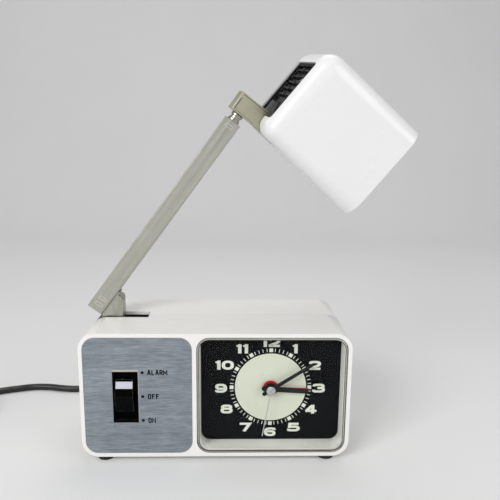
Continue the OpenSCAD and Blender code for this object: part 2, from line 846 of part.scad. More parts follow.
module hinge_pin() color([0.6, 0.6, 0.62]) {
    len = 2 * (carrier_half + carrier_t);
    head = 1.4;
    at_pivot() {
        translate([0, -len / 2 - head, 0]) rod_y(pivot_r, len + 2 * head);
        translate([0, -len / 2 - head, 0]) rod_y(pivot_r + 1.6, head);
        translate([0, len / 2, 0]) rod_y(pivot_r + 1.6, head);
    }
}

module friction_washers() color([0.45, 0.42, 0.36]) {
    at_pivot() for (y = [-carrier_half, carrier_half - washer_t])
        translate([0, y, 0]) ring_y(6, pivot_r, washer_t);
}

// A point at a distance along the arm and a distance above its fold pin, in X and Z about the pin
function by_arm(along, above) = [
    along * cos(arm_angle) - above * sin(arm_angle),
    along * sin(arm_angle) + above * cos(arm_angle)];
arm_under = arm_lift - arm_w / 2;

module cheek_outline() {
    low = by_arm(cheek_from, arm_under - cheek_drop);
    high = by_arm(cheek_to, arm_under - cheek_drop);
    difference() {
        union() {
            circle(cheek_r);
            polygon([low, high, [high[0] + 2, high[1] - 0.6], [web_x - 0.4, web_top + 1.6], [web_x, web_top],
                [web_x, 2], [0, -cheek_r], [-cheek_r, 0]]);
        }
        circle(pivot_r + run_gap);
    }
}

module base_bracket() color([0.68, 0.67, 0.61]) {
    at_pivot() difference() {
        union() {
            for (y = [-base_half, base_half - sheet_t])
                translate([0, y, 0]) slab(sheet_t) cheek_outline();
            translate([web_x - sheet_t, -base_half, 8]) cube([sheet_t, 2 * base_half, web_top - 8]);
            rotate([0, -arm_angle, 0]) translate([cheek_from + 2, -base_half + eps, arm_under - sheet_t])
                cube([bolt_at + nut_r - cheek_from - 2, 2 * base_half - 2 * eps, sheet_t]);
        }
        rotate([0, -arm_angle, 0]) translate([bolt_at, 0, 0])
            cylinder(h = 2 * arm_lift, r = bolt_r + fit_gap);
        // The flange is narrower than the cheeks, so that a dark line shows below the arm
        for (y = [-base_half - 1, base_half - 0.9])
            rotate([0, -arm_angle, 0]) translate([cheek_from, y, arm_under - cheek_drop])
                cube([bolt_at + nut_r, 1.9, 2 * cheek_drop]);
    }
}

module bracket_nut() color([0.4, 0.38, 0.28]) {
    at_pivot() rotate([0, -arm_angle, 0]) translate([bolt_at, 0, arm_under - sheet_t]) {
        difference() {
            translate([0, 0, -nut_t]) rotate([0, 0, 30]) cylinder(h = nut_t, r = nut_r, $fn = 6);
            translate([0, 0, -nut_t - 1]) cylinder(h = nut_t + 2, r = bolt_r - eps);
        }
        translate([0, 0, -nut_t - 0.5]) cylinder(h = nut_t + 0.5 + sheet_t + arm_wall, r = bolt_r);
        translate([0, 0, sheet_t + arm_wall]) cylinder(h = 1.4, r = 2.6);
    }
}

// Arm frame
arm_tip = [
    pivot_x + by_arm(arm_start + arm_len, arm_lift)[0],
    arm_y,
    pivot_z + by_arm(arm_start + arm_len, arm_lift)[1]];

module at_arm() {
    translate(arm_tip) rotate([0, 90 - arm_angle, 0]) children();
}

module arm_tube() color([0.68, 0.67, 0.61]) {
    at_arm() translate([0, 0, -arm_len]) difference() {
        linear_extrude(arm_len) rounded(arm_w, arm_d, 0.8);
        translate([0, 0, -1]) linear_extrude(arm_len + 2)
            square([arm_w - 2 * arm_wall, arm_d - 2 * arm_wall], center = true);
        translate([0, 0, bolt_at - arm_start]) rod_x(bolt_r, arm_w);
    }
}

module arm_plugs() color([0.6, 0.59, 0.54]) {
    at_arm() for (z = [-plug_depth - 0.5, -arm_len + 0.5])
        translate([0, 0, z]) difference() {
            linear_extrude(plug_depth)
                square([arm_w - 2 * arm_wall, arm_d - 2 * arm_wall], center = true);
            translate([0, 0, -1])
                cylinder(h = plug_depth + 2, r = z > -arm_len / 2 ? swivel_r : swivel_bore);
        }
}

module lamp_cable() color([0.9, 0.9, 0.88]) {
    at_arm() translate([0, 0, -arm_len + 2])
        cylinder(h = arm_len + flange_z + sheet_t + swivel_nut_t, r = swivel_bore);
}

module swivel_pin() color([0.65, 0.65, 0.62]) {
    top = flange_z + sheet_t + 0.2 + swivel_nut_t + 0.8;
    at_arm() translate([0, 0, -plug_depth + 1]) difference() {
        cylinder(h = plug_depth - 1 + top, r = swivel_r);
        translate([0, 0, -1]) cylinder(h = plug_depth + top + 2, r = swivel_bore);
    }
}

module swivel_washers() color([0.72, 0.7, 0.64]) {
    each_t = washer_stack / 3;
    at_arm() for (i = [0:2])
        translate([0, 0, i * each_t]) difference() {
            cylinder(h = each_t, r = washer_r - (i % 2) * 0.8);
            translate([0, 0, -1]) cylinder(h = each_t + 2, r = swivel_r);
        }
}

module swivel_nut() color([0.6, 0.6, 0.58]) {
    at_arm() translate([0, 0, flange_z + sheet_t + 0.2]) difference() {
        cylinder(h = swivel_nut_t, r = 5.4, $fn = 6);
        translate([0, 0, -1]) cylinder(h = swivel_nut_t + 2, r = swivel_r);
    }
}

// Head bracket: a folded box open towards the shade, drawn about the arm's axis
module at_swivel() {
    at_arm() rotate([0, 0, head_turn]) children();
}

module head_bracket() color([0.68, 0.67, 0.61]) {
    half = bracket_d / 2;
    at_swivel() difference() {
        union() {
            for (y = [-half, half - sheet_t])
                translate([0, y, pin_z]) slab(sheet_t) union() {
                    translate([-bracket_back, -bracket_h / 2])
                        square([bracket_back + bracket_reach, bracket_h]);
                    translate([bracket_reach, 0]) circle(bracket_nose);
                }
            translate([-bracket_back, -half, flange_z]) cube([sheet_t, bracket_d, bracket_h]);
            for (z = [flange_z, flange_z + bracket_h - sheet_t])
                translate([-bracket_back, -half, z])
                    cube([bracket_back + flange_reach, bracket_d, sheet_t]);
        }
        translate([0, 0, flange_z - 1]) cylinder(h = sheet_t + 2, r = swivel_r + run_gap);
        translate([bracket_reach, -bracket_d, pin_z]) rod_y(tilt_r + run_gap, 2 * bracket_d);
    }
}

module at_head() {
    at_swivel() translate([bracket_reach, 0, pin_z]) rotate([0, head_tilt, 0]) children();
}

module tilt_pin() color([0.6, 0.6, 0.58]) {
    half = bracket_d / 2 + fit_gap;
    at_head() {
        translate([0, -half, 0]) rod_y(tilt_r, 2 * half);
        for (y = [-half - 1.2, half]) translate([0, y, 0]) rod_y(tilt_r + 1.4, 1.2);
    }
}

// Outer form of the shade, or its hollow when inset by the wall
module shade_form(inset, past) {
    x0 = shade_x0 + inset;
    x1 = shade_x0 + shade_len;
    ry = corner_y - inset;
    rz = corner_z - inset;
    grow = shade_taper / 2;
    half_y = shade_d / 2 - inset;
    mid = shade_z0 + shade_w / 2;
    half_z = shade_w / 2 - inset;
    hull() {
        for (i = [-1, 1], j = [-1, 1]) {
            end_x = (j < 0 ? corner_low : corner_x) - inset;
            end_z = (j < 0 ? corner_low : corner_z) - inset;
            translate([x0 + end_x, i * (half_y - ry), mid + j * (half_z - end_z)])
                scale([end_x, ry, end_z] / cos(90 / 16)) rotate([0, 90, 0]) sphere(1, $fn = 32);
            translate([x1, i * (half_y + grow - ry), mid + j * (half_z + grow - rz)])
                scale([1, ry, rz]) rotate([0, 90, 0]) cylinder(h = past + eps, r = 1, $fn = 32);
        }
    }
}

module shade() color([0.96, 0.96, 0.95]) {
    at_head() difference() {
        shade_form(0, 0);
        shade_form(shade_wall, 1);
        translate([shade_x0 - 1, -vent_w / 2, vent_z0])
            cube([corner_x + 1, vent_w, vent_top - vent_z0]);
        translate([shade_x0 - 1, -slot_half, shade_z0 - 5])
            cube([corner_x + 1, 2 * slot_half, vent_z0 - shade_z0 + 5 + eps]);
        translate([shade_x0 - 1, -slot_half, shade_z0 - 5])
            cube([vent_low_x + 1 - shade_x0, 2 * slot_half, 5 - shade_z0]);
        for (y = [-ear_y, ear_y])
            translate([carrier_x - pad_t - 1.6, y, ear_z]) rod_x(screw_r - 0.2, 5);
    }
}

// Black carrier behind the opening: a grille, two lugs for the tilt pin and the seat of the lampholder
module socket_carrier() color([0.06, 0.06, 0.065]) {
    plate_half = ear_y + 2.2;
    at_head() difference() {
        union() {
            translate([carrier_x, -plate_half, grille_z0])
                cube([grille_t, 2 * plate_half, vent_top - grille_z0 + 0.6]);
            for (y = [-lug_y - lug_t, lug_y])
                translate([0, y, 0]) slab(lug_t) union() {
                    circle(tilt_r + 3.4);
                    polygon([[-4, -4], [5.5, -2], [10, grille_z0 + 8], [carrier_x + 1, grille_z0 + 8],
                        [carrier_x + 1, grille_z0]]);
                }
            translate([carrier_x + grille_t - eps, 0, bulb_z]) rod_x(holder_r + 2.4, 5);
            for (y = [-ear_y, ear_y])
                translate([carrier_x - pad_t, y, ear_z]) rod_x(ear_r, pad_t + eps);
        }
        translate([0, -plate_half, 0]) rod_y(tilt_r, 2 * plate_half);
        for (i = [0:5])
            translate([carrier_x - 1, -vent_w / 2 + 2.4, grille_z0 + 4 + 5.6 * i])
                cube([grille_t + 0.9, vent_w - 4.8, 2.6]);
        translate([carrier_x + grille_t, 0, bulb_z]) rod_x(holder_r, 20);
        for (y = [-ear_y, ear_y])
            translate([carrier_x - pad_t - 1, y, ear_z]) rod_x(screw_r - 0.2, grille_t + pad_t + 2);
    }
}

module shade_screws() color([0.72, 0.72, 0.7]) {
    at_head() for (y = [-ear_y, ear_y])
        translate([carrier_x - pad_t - 1.5, y, ear_z]) {
            rod_x(screw_r - 0.25, grille_t + pad_t + 1.51);
            translate([grille_t + pad_t + 1.5, 0, 0]) rod_x(2.2, 1.4);
        }
}

module lampholder() color([0.12, 0.12, 0.12]) {
    at_head() translate([holder_x0, 0, bulb_z]) {
        difference() {
            rod_x(holder_r, holder_len);
            translate([6, 0, 0]) rod_x(cap_r + 0.6, holder_len);
            translate([holder_len - 8, 0, 0]) rod_x(holder_r - holder_wall, holder_len);
        }
        translate([5, 0, 0]) rod_x(1.5, neck_x - cap_len - 0.4 - holder_x0 - 5);
    }
}

module bulb_cap() color([0.75, 0.74, 0.68]) {
    at_head() translate([neck_x - cap_len + 2, 0, bulb_z]) {
        rod_x(cap_r, cap_len);
        translate([-2.4, 0, 0]) rod_x(3, 2.5);
    }
}

// Pear-shaped glass, from the neck to the round front
module bulb_glass() color([1, 0.99, 0.95, 0.7]) {
    at_head() translate([neck_x + 2, 0, bulb_z]) rotate([0, 90, 0]) rotate_extrude()
        difference() {
            bulb_profile(0);
            bulb_profile(0.9);
        }
}

module bulb_profile(inset) {
    centre = bulb_x - neck_x - 2;
    intersection() {
        union() {
            translate([0, centre]) circle(bulb_r - inset);
            polygon([[0, -eps], [cap_r - inset, -eps], [cap_r + 1 - inset, 3],
                [(bulb_r - inset) * cos(35), centre - (bulb_r - inset) * sin(35)], [0, centre]]);
        }
        translate([0, inset > 0 ? -1 : 0]) square([2 * bulb_r, 4 * bulb_r]);
    }
}

// Cord
function unit(v) = v / norm(v);
function tangent(p, i) = unit(p[min(i + 1, len(p) - 1)] - p[max(i - 1, 0)]);
function ring_at(p, i, r, n, turn) =
    let (
        t = tangent(p, i),
        side = unit(cross(t, [0, 0, 1])),
        up = cross(side, t)
    )
    [for (k = [0:n - 1]) p[i] + r * (cos(360 * k / n + turn) * side + sin(360 * k / n + turn) * up)];

module tube(p, r, n, turn) {
    last = len(p) - 1;
    points = [for (i = [0:last]) each ring_at(p, i, r, n, turn)];
    sides = [for (i = [0:last - 1], k = [0:n - 1], half = [0, 1])
        let (a = i * n + k, b = i * n + (k + 1) % n)
        half == 0 ? [a, b, a + n] : [b, b + n, a + n]];
    start = [for (k = [1:n - 2]) [0, k + 1, k]];
    end = [for (k = [1:n - 2]) [last * n, last * n + k, last * n + k + 1]];
    polyhedron(points, concat(sides, start, end));
}

// Centre line of the coil: in along the lower layer, up where it turns back, out along the upper one
function coil_radius(t) = coil_r_out - coil_pitch * min(t, coil_end - t);
function smooth(s) = let (c = max(0, min(1, s))) c * c * (3 - 2 * c);
function coil_height(t) =
    t < coil_turns ? coil_low + flat_cut * (1 - smooth(t / settle))
    : coil_low + coil_step * smooth((t - coil_turns) / coil_climb);
function coil_point(t) = [
    COIL_C[0] - coil_radius(t) * sin(360 * t),
    COIL_C[1] + coil_radius(t) * cos(360 * t),
    coil_height(t)];
coil_steps = ceil(coil_end * coil_rings);
coil_loops = [for (i = [0:coil_steps]) coil_point(coil_end * i / coil_steps)];
coil_path = concat([coil_loops[0] + [coil_lead, 0, 0]], coil_loops,
    [coil_loops[coil_steps] - [0, coil_lead, 0]]);
coil_gap = min([for (i = [0:coil_steps - 12], j = [i + 12:coil_steps])
    norm(coil_loops[i] - coil_loops[j])]) - cord_d;
echo(coil_least_gap_mm = coil_gap);
function path_length(p) = [for (i = [1:len(p) - 1]) norm(p[i] - p[i - 1])] * [for (i = [1:len(p) - 1]) 1];
echo(cord_length_mm = path_length(ROUTE) + path_length(coil_path) + path_length(TAIL));

module mains_cord() color([0.06, 0.06, 0.06]) tube(ROUTE, cord_r, 10, 90);

module cord_coil() color([0.06, 0.06, 0.06]) intersection() {
    tube(coil_path, cord_r, 6, 90);
    translate([COIL_C[0] - 100, COIL_C[1] - 100, 0]) cube([200, 200, 40]);
}

module cord_tail() color([0.06, 0.06, 0.06]) tube(TAIL, cord_r, 10, 90);

module coil_tie() color([0.12, 0.12, 0.12]) {
    gap = 0.5;
    inner = coil_r_out - coil_pitch * coil_end / 2 - cord_r - gap;
    outer = coil_r_out + cord_r + gap;
    tall = coil_low + coil_step + cord_r + gap;
    translate([COIL_C[0], COIL_C[1], 0]) rotate([0, 0, tie_angle]) difference() {
        translate([inner - tie_t, -tie_w / 2, 0]) cube([outer - inner + 2 * tie_t, tie_w, tall + tie_t]);
        translate([inner, -tie_w, -1]) cube([outer - inner, 2 * tie_w, tall + 1]);
    }
}

module plug() color([0.07, 0.07, 0.07]) {
    translate([plug_x, plug_neck_y, plug_z]) {
        rotate([90, 0, 0]) cylinder(h = neck_len, r1 = cord_r + 0.6, r2 = cord_r + 2);
        translate([0, -neck_len + eps, 0]) rotate([90, 0, 0]) linear_extrude(plug_len)
            polygon([[-plug_w / 2, 0], [-plug_w / 2 + 5, -plug_h / 2], [plug_w / 2 - 5, -plug_h / 2],
                [plug_w / 2, 0], [plug_w / 2 - 5, plug_h / 2], [-plug_w / 2 + 5, plug_h / 2]]);
    }
}

module plug_pins() color([0.75, 0.74, 0.7]) {
    for (i = [-1, 1])
        translate([plug_x + i * pin_gap / 2, plug_neck_y - neck_len - plug_len - pin_len, plug_z])
            rod_y(pin_r, pin_len);
}

front_shell();
rear_shell();
faceplate();
lens();
dial_frame();
dial_plate();
dial_disc();
feet();
case_screws();
strain_relief();
terminal_block();
switch_housing();
switch_body();
rocker();
rocker_marker();
movement_front_plate();
movement_rear_plate();
movement_pillars();
motor_can();
motor_coil();
motor_rotor();
seconds_wheel();
seconds_hand();
minute_pipe();
minute_hand();
hour_wheel();
hour_hand();
alarm_wheel();
alarm_hand();
alarm_contact();
motion_wheel();
time_knob();
alarm_pinion();
alarm_knob();
hinge_carrier();
carrier_screws();
hinge_pin();
friction_washers();
base_bracket();
bracket_nut();
arm_tube();
arm_plugs();
lamp_cable();
swivel_pin();
swivel_washers();
swivel_nut();
head_bracket();
tilt_pin();
shade();
socket_carrier();
shade_screws();
lampholder();
bulb_cap();
bulb_glass();
mains_cord();
cord_coil();
cord_tail();
coil_tie();
plug();
plug_pins();
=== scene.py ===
"""Light alarm clock: a clock case with a switch panel, and a lamp on a folding arm."""

import math

import bmesh
import bpy
from bpy.props import FloatProperty, FloatVectorProperty, IntProperty, PointerProperty
from bpy.types import Operator, Panel, PropertyGroup
from mathutils import Matrix, Vector


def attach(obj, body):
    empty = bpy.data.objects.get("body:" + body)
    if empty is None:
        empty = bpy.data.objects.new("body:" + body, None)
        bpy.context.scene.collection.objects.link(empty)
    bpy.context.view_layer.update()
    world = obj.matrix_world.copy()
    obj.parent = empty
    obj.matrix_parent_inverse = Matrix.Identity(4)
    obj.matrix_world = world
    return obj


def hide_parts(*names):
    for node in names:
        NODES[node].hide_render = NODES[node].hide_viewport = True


bl_info = {
    "name": "Light Alarm Clock",
    "version": (1, 0, 0),
    "blender": (4, 5, 0),
    "location": "3D View > Sidebar > Alarm Clock",
    "description": "Builds the finished look of a light alarm clock on its packed CAD frame",
    "category": "Object",
}

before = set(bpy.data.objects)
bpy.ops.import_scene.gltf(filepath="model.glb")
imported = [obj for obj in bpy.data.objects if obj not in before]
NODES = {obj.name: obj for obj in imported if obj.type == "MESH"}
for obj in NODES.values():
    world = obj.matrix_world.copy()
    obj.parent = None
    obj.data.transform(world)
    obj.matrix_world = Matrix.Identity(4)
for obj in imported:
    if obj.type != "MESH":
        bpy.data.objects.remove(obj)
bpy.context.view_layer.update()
MM = 0.001
QUARTERS = ((1, 1), (-1, 1), (-1, -1), (1, -1))


# Places on the object, in millimetres


def at(x, y, z):
    """A point given in millimetres."""
    return Vector((x, y, z)) * MM


PLATE_Y = -44.9
INK_BACK_Y = -44.89
LENS_Y = -45.0
DIAL_CENTRE = (41.3, 52.5)
DIAL_Y = -29.0

ARM_TIP = Vector((11.162, 1.5, 252.852))
ARM_ALONG = Vector((0.59342, 0, 0.80489))
ARM_ACROSS = Vector((0.80489, 0, -0.59342))

BRACKET_X = Vector((0.78100, 0.24192, -0.57580))

HEAD_ORIGIN = Vector((40.635, 8.516, 245.411))
HEAD_X = Vector((0.73994, 0.24139, -0.62787))
HEAD_Y = Vector((-0.19472, 0.97030, 0.14356))
HEAD_Z = Vector((0.64387, 0.01603, 0.76496))


def on_arm(along, across, y):
    """A point on the arm: along from its tip towards the hinge, across its width, at a depth y."""
    p = ARM_TIP - ARM_ALONG * along + ARM_ACROSS * across
    return at(p.x, y, p.z)


def on_bracket(x, y, z):
    """A point in the head bracket's axes: x towards the shade, z along the arm, from the arm's tip."""
    return (ARM_TIP + BRACKET_X * x + HEAD_Y * y + ARM_ALONG * z) * MM


def in_head(x, y, z):
    """A point in the shade's own axes: x from the closed end, at -14, to the mouth, at 82.5."""
    return (HEAD_ORIGIN + HEAD_X * x + HEAD_Y * y + HEAD_Z * z) * MM


# Colours


def srgb(red, green, blue):
    """A linear colour from the 0 to 255 values of a screen."""

    def linear(value):
        value /= 255
        return value / 12.92 if value <= 0.04045 else ((value + 0.055) / 1.055) ** 2.4

    return (linear(red), linear(green), linear(blue), 1.0)


def colour(name, description, red, green, blue):
    """A colour setting with its default."""
    return FloatVectorProperty(
        name=name,
        description=description,
        default=srgb(red, green, blue),
        subtype="COLOR",
        size=4,
        min=0,
        max=1,
    )


def size(name, description, millimetres, most):
    """A length setting with its default."""
    return FloatProperty(
        name=name,
        description=description,
        default=millimetres * MM,
        min=0,
        max=most * MM,
        subtype="DISTANCE",
        unit="LENGTH",
    )


# Shader trees


def feed(tree, node, inputs):
    """Fills a node's inputs: a value that is a socket is linked, and any other is set."""
    for key, value in inputs.items():
        socket = node.inputs[key]
        if isinstance(value, bpy.types.NodeSocket):
            tree.links.new(value, socket)
        else:
            socket.default_value = value


def add(tree, kind, inputs=None, **settings):
    """Adds a shader node with its inputs and its settings."""
    node = tree.nodes.new(kind)
    for key, value in settings.items():
        setattr(node, key, value)
    feed(tree, node, inputs or {})
    return node


def calc(tree, operation, first, second=0.0, third=0.0, clamp=False):
    """One step of arithmetic in a shader tree."""
    inputs = {0: first, 1: second, 2: third}
    return add(tree, "ShaderNodeMath", inputs, operation=operation, use_clamp=clamp).outputs[0]


def vector(tree, operation, first, second):
    """One step of vector arithmetic in a shader tree."""
    inputs = {0: first, "Scale" if operation == "SCALE" else 1: second}
    node = add(tree, "ShaderNodeVectorMath", inputs, operation=operation)
    return node.outputs["Value" if operation == "DOT_PRODUCT" else "Vector"]


def ramp(tree, value, low, high, out_low=0.0, out_high=1.0):
    """A value's range from low to high, spread softly from out_low to out_high."""
    inputs = {"Value": value, "From Min": low, "From Max": high, "To Min": out_low, "To Max": out_high}
    return add(tree, "ShaderNodeMapRange", inputs, interpolation_type="SMOOTHSTEP").outputs["Result"]


def noise(tree, place, scale, detail, roughness=0.5):
    """Soft noise from 0 to 1."""
    inputs = {"Vector": place, "Scale": scale, "Detail": detail, "Roughness": roughness}
    return add(tree, "ShaderNodeTexNoise", inputs).outputs["Fac"]


def object_place(tree):
    """Where a point of the surface is on the object."""
    return add(tree, "ShaderNodeTexCoord").outputs["Object"]


def face_normal(tree):
    """Which way the surface looks."""
    return add(tree, "ShaderNodeNewGeometry").outputs["Normal"]


def tint(tree, share, first, second):
    """The first colour where share is 0, the second where it is 1."""
    return add(tree, "ShaderNodeMix", {0: share, 6: first, 7: second}, data_type="RGBA").outputs[2]


def cover(tree, shown, mask, share, colour):
    """Covers a colour with another where a mask says, by a share of it."""
    return tint(tree, calc(tree, "MULTIPLY", mask, share), shown, colour)


def shared_group(name, outputs, **inputs):
    """Makes the function under it one shader node group, built once, with these inputs."""

    def wrap(build):
        def group():
            if name in bpy.data.node_groups:
                return bpy.data.node_groups[name]
            tree = bpy.data.node_groups.new(name, "ShaderNodeTree")
            for label, default in inputs.items():
                kind = "NodeSocketVector" if isinstance(default, tuple) else "NodeSocketFloat"
                socket = tree.interface.new_socket(label, in_out="INPUT", socket_type=kind)
                socket.default_value = default
            for label in outputs:
                tree.interface.new_socket(label, in_out="OUTPUT", socket_type="NodeSocketFloat")
            inside = tree.nodes.new("NodeGroupInput").outputs
            outside = tree.nodes.new("NodeGroupOutput").inputs
            for label, value in zip(outputs, build(tree, inside)):
                tree.links.new(value, outside[label])
            return tree

        return group

    return wrap


@shared_group("Surface skin", ("Grain", "Patches", "Specks"), Grain=1500.0, Patch=30.0, Speck=260.0)
def skin_group(tree, inside):
    """Fine grain, soft patches and sparse specks over a surface."""
    place = object_place(tree)
    speck = add(tree, "ShaderNodeTexVoronoi", {"Vector": place, "Scale": inside["Speck"]})
    chosen = add(tree, "ShaderNodeSeparateColor", {0: speck.outputs["Color"]}).outputs[0]
    near = ramp(tree, speck.outputs["Distance"], 0.10, 0.24, 1.0, 0.0)
    return (
        noise(tree, place, inside["Grain"], 2.0),
        ramp(tree, noise(tree, place, inside["Patch"], 4.0, 0.6), 0.3, 0.7),
        calc(tree, "MULTIPLY", near, ramp(tree, chosen, 0.9, 0.97)),
    )


@shared_group(
    "Brushed streaks", ("Streaks", "Bands"), Direction=(1.0, 0.0, 0.0), Across=3000.0, Along=30.0
)
def streak_group(tree, inside):
    """Brushed lines along a direction, with wider bands under them."""
    place = object_place(tree)
    length = vector(tree, "DOT_PRODUCT", place, inside["Direction"])
    shorten = calc(tree, "MULTIPLY", length, calc(tree, "SUBTRACT", inside["Along"], inside["Across"]))
    wide = vector(tree, "SCALE", place, inside["Across"])
    stretched = vector(tree, "ADD", wide, vector(tree, "SCALE", inside["Direction"], shorten))
    return (
        ramp(tree, noise(tree, stretched, 1.0, 4.0, 0.75), 0.28, 0.72),
        ramp(tree, noise(tree, stretched, 0.17, 3.0), 0.3, 0.7),
    )


@shared_group("Worn and highlighted edges", ("Edge",), Radius=0.0006, Break=400.0)
def edge_group(tree, inside):
    """A mask of the sharp edges of a piece, broken up by noise; finishes paint wear on some edges and a
    painted highlight on others.
    """
    rounded = add(tree, "ShaderNodeBevel", {"Radius": inside["Radius"]}, samples=4).outputs["Normal"]
    same = vector(tree, "DOT_PRODUCT", rounded, face_normal(tree))
    bend = ramp(tree, calc(tree, "SUBTRACT", 1.0, same), 0.01, 0.16)
    gaps = ramp(tree, noise(tree, object_place(tree), inside["Break"], 3.0), 0.25, 0.6)
    return (calc(tree, "MULTIPLY", bend, gaps),)


@shared_group("Dust and corner shade", ("Dust", "Corner shade"), Reach=0.004, Patch=60.0)
def dust_and_shade_group(tree, inside):
    """Dust on faces that look up, and a corner mask from ambient occlusion that the finishes use for
    painted shade.
    """
    facing = add(tree, "ShaderNodeSeparateXYZ", {0: face_normal(tree)}).outputs["Z"]
    patch = ramp(tree, noise(tree, object_place(tree), inside["Patch"], 5.0, 0.65), 0.35, 0.7)
    bare = add(tree, "ShaderNodeAmbientOcclusion", {"Distance": inside["Reach"]}, samples=6)
    return (
        calc(tree, "MULTIPLY", ramp(tree, facing, 0.3, 1.0), patch),
        # Painted shade: the corner mask is high where ambient occlusion finds the light blocked.
        calc(tree, "SUBTRACT", 1.0, bare.outputs["AO"], clamp=True),
    )


def place_group(tree, group, **inputs):
    """A group's node in a material, with its values."""
    return add(tree, "ShaderNodeGroup", inputs, node_tree=group()).outputs


def open_material(name):
    """A new material, its tree and its Principled node."""
    material = bpy.data.materials.new(name)
    material.use_nodes = True
    tree = material.node_tree
    return material, tree, tree.nodes["Principled BSDF"]


def raise_surface(tree, surface, height, depth, strength=1.0):
    """Feeds a height into a material's normal."""
    bump = add(tree, "ShaderNodeBump", {"Height": height, "Distance": depth, "Strength": strength})
    feed(tree, surface, {"Normal": bump.outputs["Normal"]})


def darker(colour, share):
    """A colour dimmed to a share of its light."""
    return tuple(share * v for v in colour[:3]) + (1.0,)


# Finishes


def moulded(
    name,
    base,
    aged,
    roughness=0.35,
    grain=1600.0,
    depth=0.00001,
    patch=30.0,
    dust=0.15,
    dust_colour=srgb(150, 146, 136),
    corners=0.35,
    corner_shade_colour=None,
    specks=0.0,
    coat=0.0,
    edge=0.0,
    edge_colour=None,
    shine=0.5,
):
    """Moulded plastic, rubber or paint: aged patches, grain, dust above, painted shade in its corners, and
    an edge colour that is wear on some finishes and a painted highlight on others.
    """
    material, tree, surface = open_material(name)
    skin = place_group(tree, skin_group, Grain=grain, Patch=patch)
    dust_and_shade = place_group(tree, dust_and_shade_group)
    shown = cover(tree, base, skin["Patches"], 0.6, aged)
    # The edge colour is edge wear on some finishes and a painted highlight on others.
    if edge:
        wear_and_highlight = place_group(tree, edge_group, Radius=0.0005)
        shown = cover(tree, shown, wear_and_highlight["Edge"], edge, edge_colour)
    # Painted shade: corners are darkened towards the corner shade colour given, else towards a shaded copy
    # of the base colour.
    shown = cover(tree, shown, dust_and_shade["Corner shade"], corners, corner_shade_colour or darker(base, 0.35))
    film = calc(tree, "MULTIPLY", dust_and_shade["Dust"], dust)
    shown = tint(tree, film, shown, dust_colour)
    if specks:
        shown = cover(tree, shown, skin["Specks"], specks, dust_colour)
    rough = calc(tree, "MULTIPLY_ADD", skin["Patches"], 0.12, roughness)
    rough = calc(tree, "MULTIPLY_ADD", film, 0.5, rough, clamp=True)
    feed(tree, surface, {"Base Color": shown, "Roughness": rough, "Specular IOR Level": shine})
    feed(tree, surface, {"Coat Weight": coat, "Coat Roughness": 0.12})
    raise_surface(tree, surface, skin["Grain"], depth)
    return material


def brushed(
    name,
    base,
    bright,
    dull,
    direction=(0, 1, 0),
    across=3000.0,
    along=30.0,
    roughness=0.34,
    contrast=0.5,
    depth=0.000006,
    edge=0.5,
    metallic=1.0,
    tarnish=0.25,
    bands=0.35,
):
    """Metal with brushed lines along a direction, edges brightened as a painted highlight, painted shade in
    its corners and dull tarnished patches.
    """
    material, tree, surface = open_material(name)
    lines = place_group(tree, streak_group, Direction=tuple(direction), Across=across, Along=along)
    skin = place_group(tree, skin_group, Grain=900.0, Patch=55.0)
    wear_and_highlight = place_group(tree, edge_group, Radius=0.0004)
    dust_and_shade = place_group(tree, dust_and_shade_group, Reach=0.003)
    fine = calc(tree, "MULTIPLY", lines["Streaks"], 1.0 - bands)
    shade = calc(tree, "MULTIPLY_ADD", lines["Bands"], bands, fine)
    shown = cover(tree, base, shade, contrast, bright)
    shown = cover(tree, shown, skin["Patches"], tarnish, dull)
    # Painted highlight: sharp edges are brightened towards the bright colour.
    shown = cover(tree, shown, wear_and_highlight["Edge"], edge, bright)
    # Painted shade: corners found by ambient occlusion are darkened.
    shown = cover(tree, shown, dust_and_shade["Corner shade"], 0.5, darker(dull, 0.3))
    rough = calc(tree, "MULTIPLY_ADD", lines["Streaks"], 0.14, roughness)
    rough = calc(tree, "MULTIPLY_ADD", skin["Patches"], 0.1, rough, clamp=True)
    feed(tree, surface, {"Base Color": shown, "Roughness": rough, "Metallic": metallic})
    raise_surface(tree, surface, lines["Streaks"], depth)
    return material


# Meshes


def dress(names, material, edge=0.3, segments=2):
    """Gives CAD nodes their finish, and rounds their sharp edges by a radius in millimetres."""
    for name in names.split():
        node = NODES[name]
        for slot in node.material_slots:
            slot.material = material
        weld = node.modifiers.new("Join faces", "WELD")
        weld.merge_threshold = 0.002 * MM
        if edge:
            round_edges(node, edge, segments)


def link(name, data):
    """A new object of the scene."""
    made = bpy.data.objects.new(name, data)
    bpy.context.scene.collection.objects.link(made)
    return made


def close_mesh(name, bm):
    """Turns a bmesh into a mesh with its faces looking outwards."""
    bmesh.ops.recalc_face_normals(bm, faces=bm.faces)
    mesh = bpy.data.meshes.new(name)
    bm.to_mesh(mesh)
    bm.free()
    return mesh


def piece(name, bm, material, body, node=None, smooth=40.0):
    """Turns a bmesh into a piece of the object that rides on a body."""
    bmesh.ops.remove_doubles(bm, verts=bm.verts, dist=0.0005 * MM)
    mesh = close_mesh(name, bm)
    mesh.materials.append(material)
    made = link(name, mesh)
    if smooth:
        mesh.shade_smooth()
        mesh.set_sharp_from_angle(angle=math.radians(smooth))
    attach(made, body)
    if node:
        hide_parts(node)
    return made


def loft(bm, rings, closed=True, start=True, end=True):
    """Joins rings of points into a skin, with a cap on each end that is wanted."""
    rows = [[bm.verts.new(p) for p in ring] for ring in rings]
    count = len(rings[0])
    for first, second in zip(rows, rows[1:]):
        for i in range(count if closed else count - 1):
            j = (i + 1) % count
            bm.faces.new((first[i], first[j], second[j], second[i]))
    if start:
        bm.faces.new(reversed(rows[0]))
    if end:
        bm.faces.new(rows[-1])


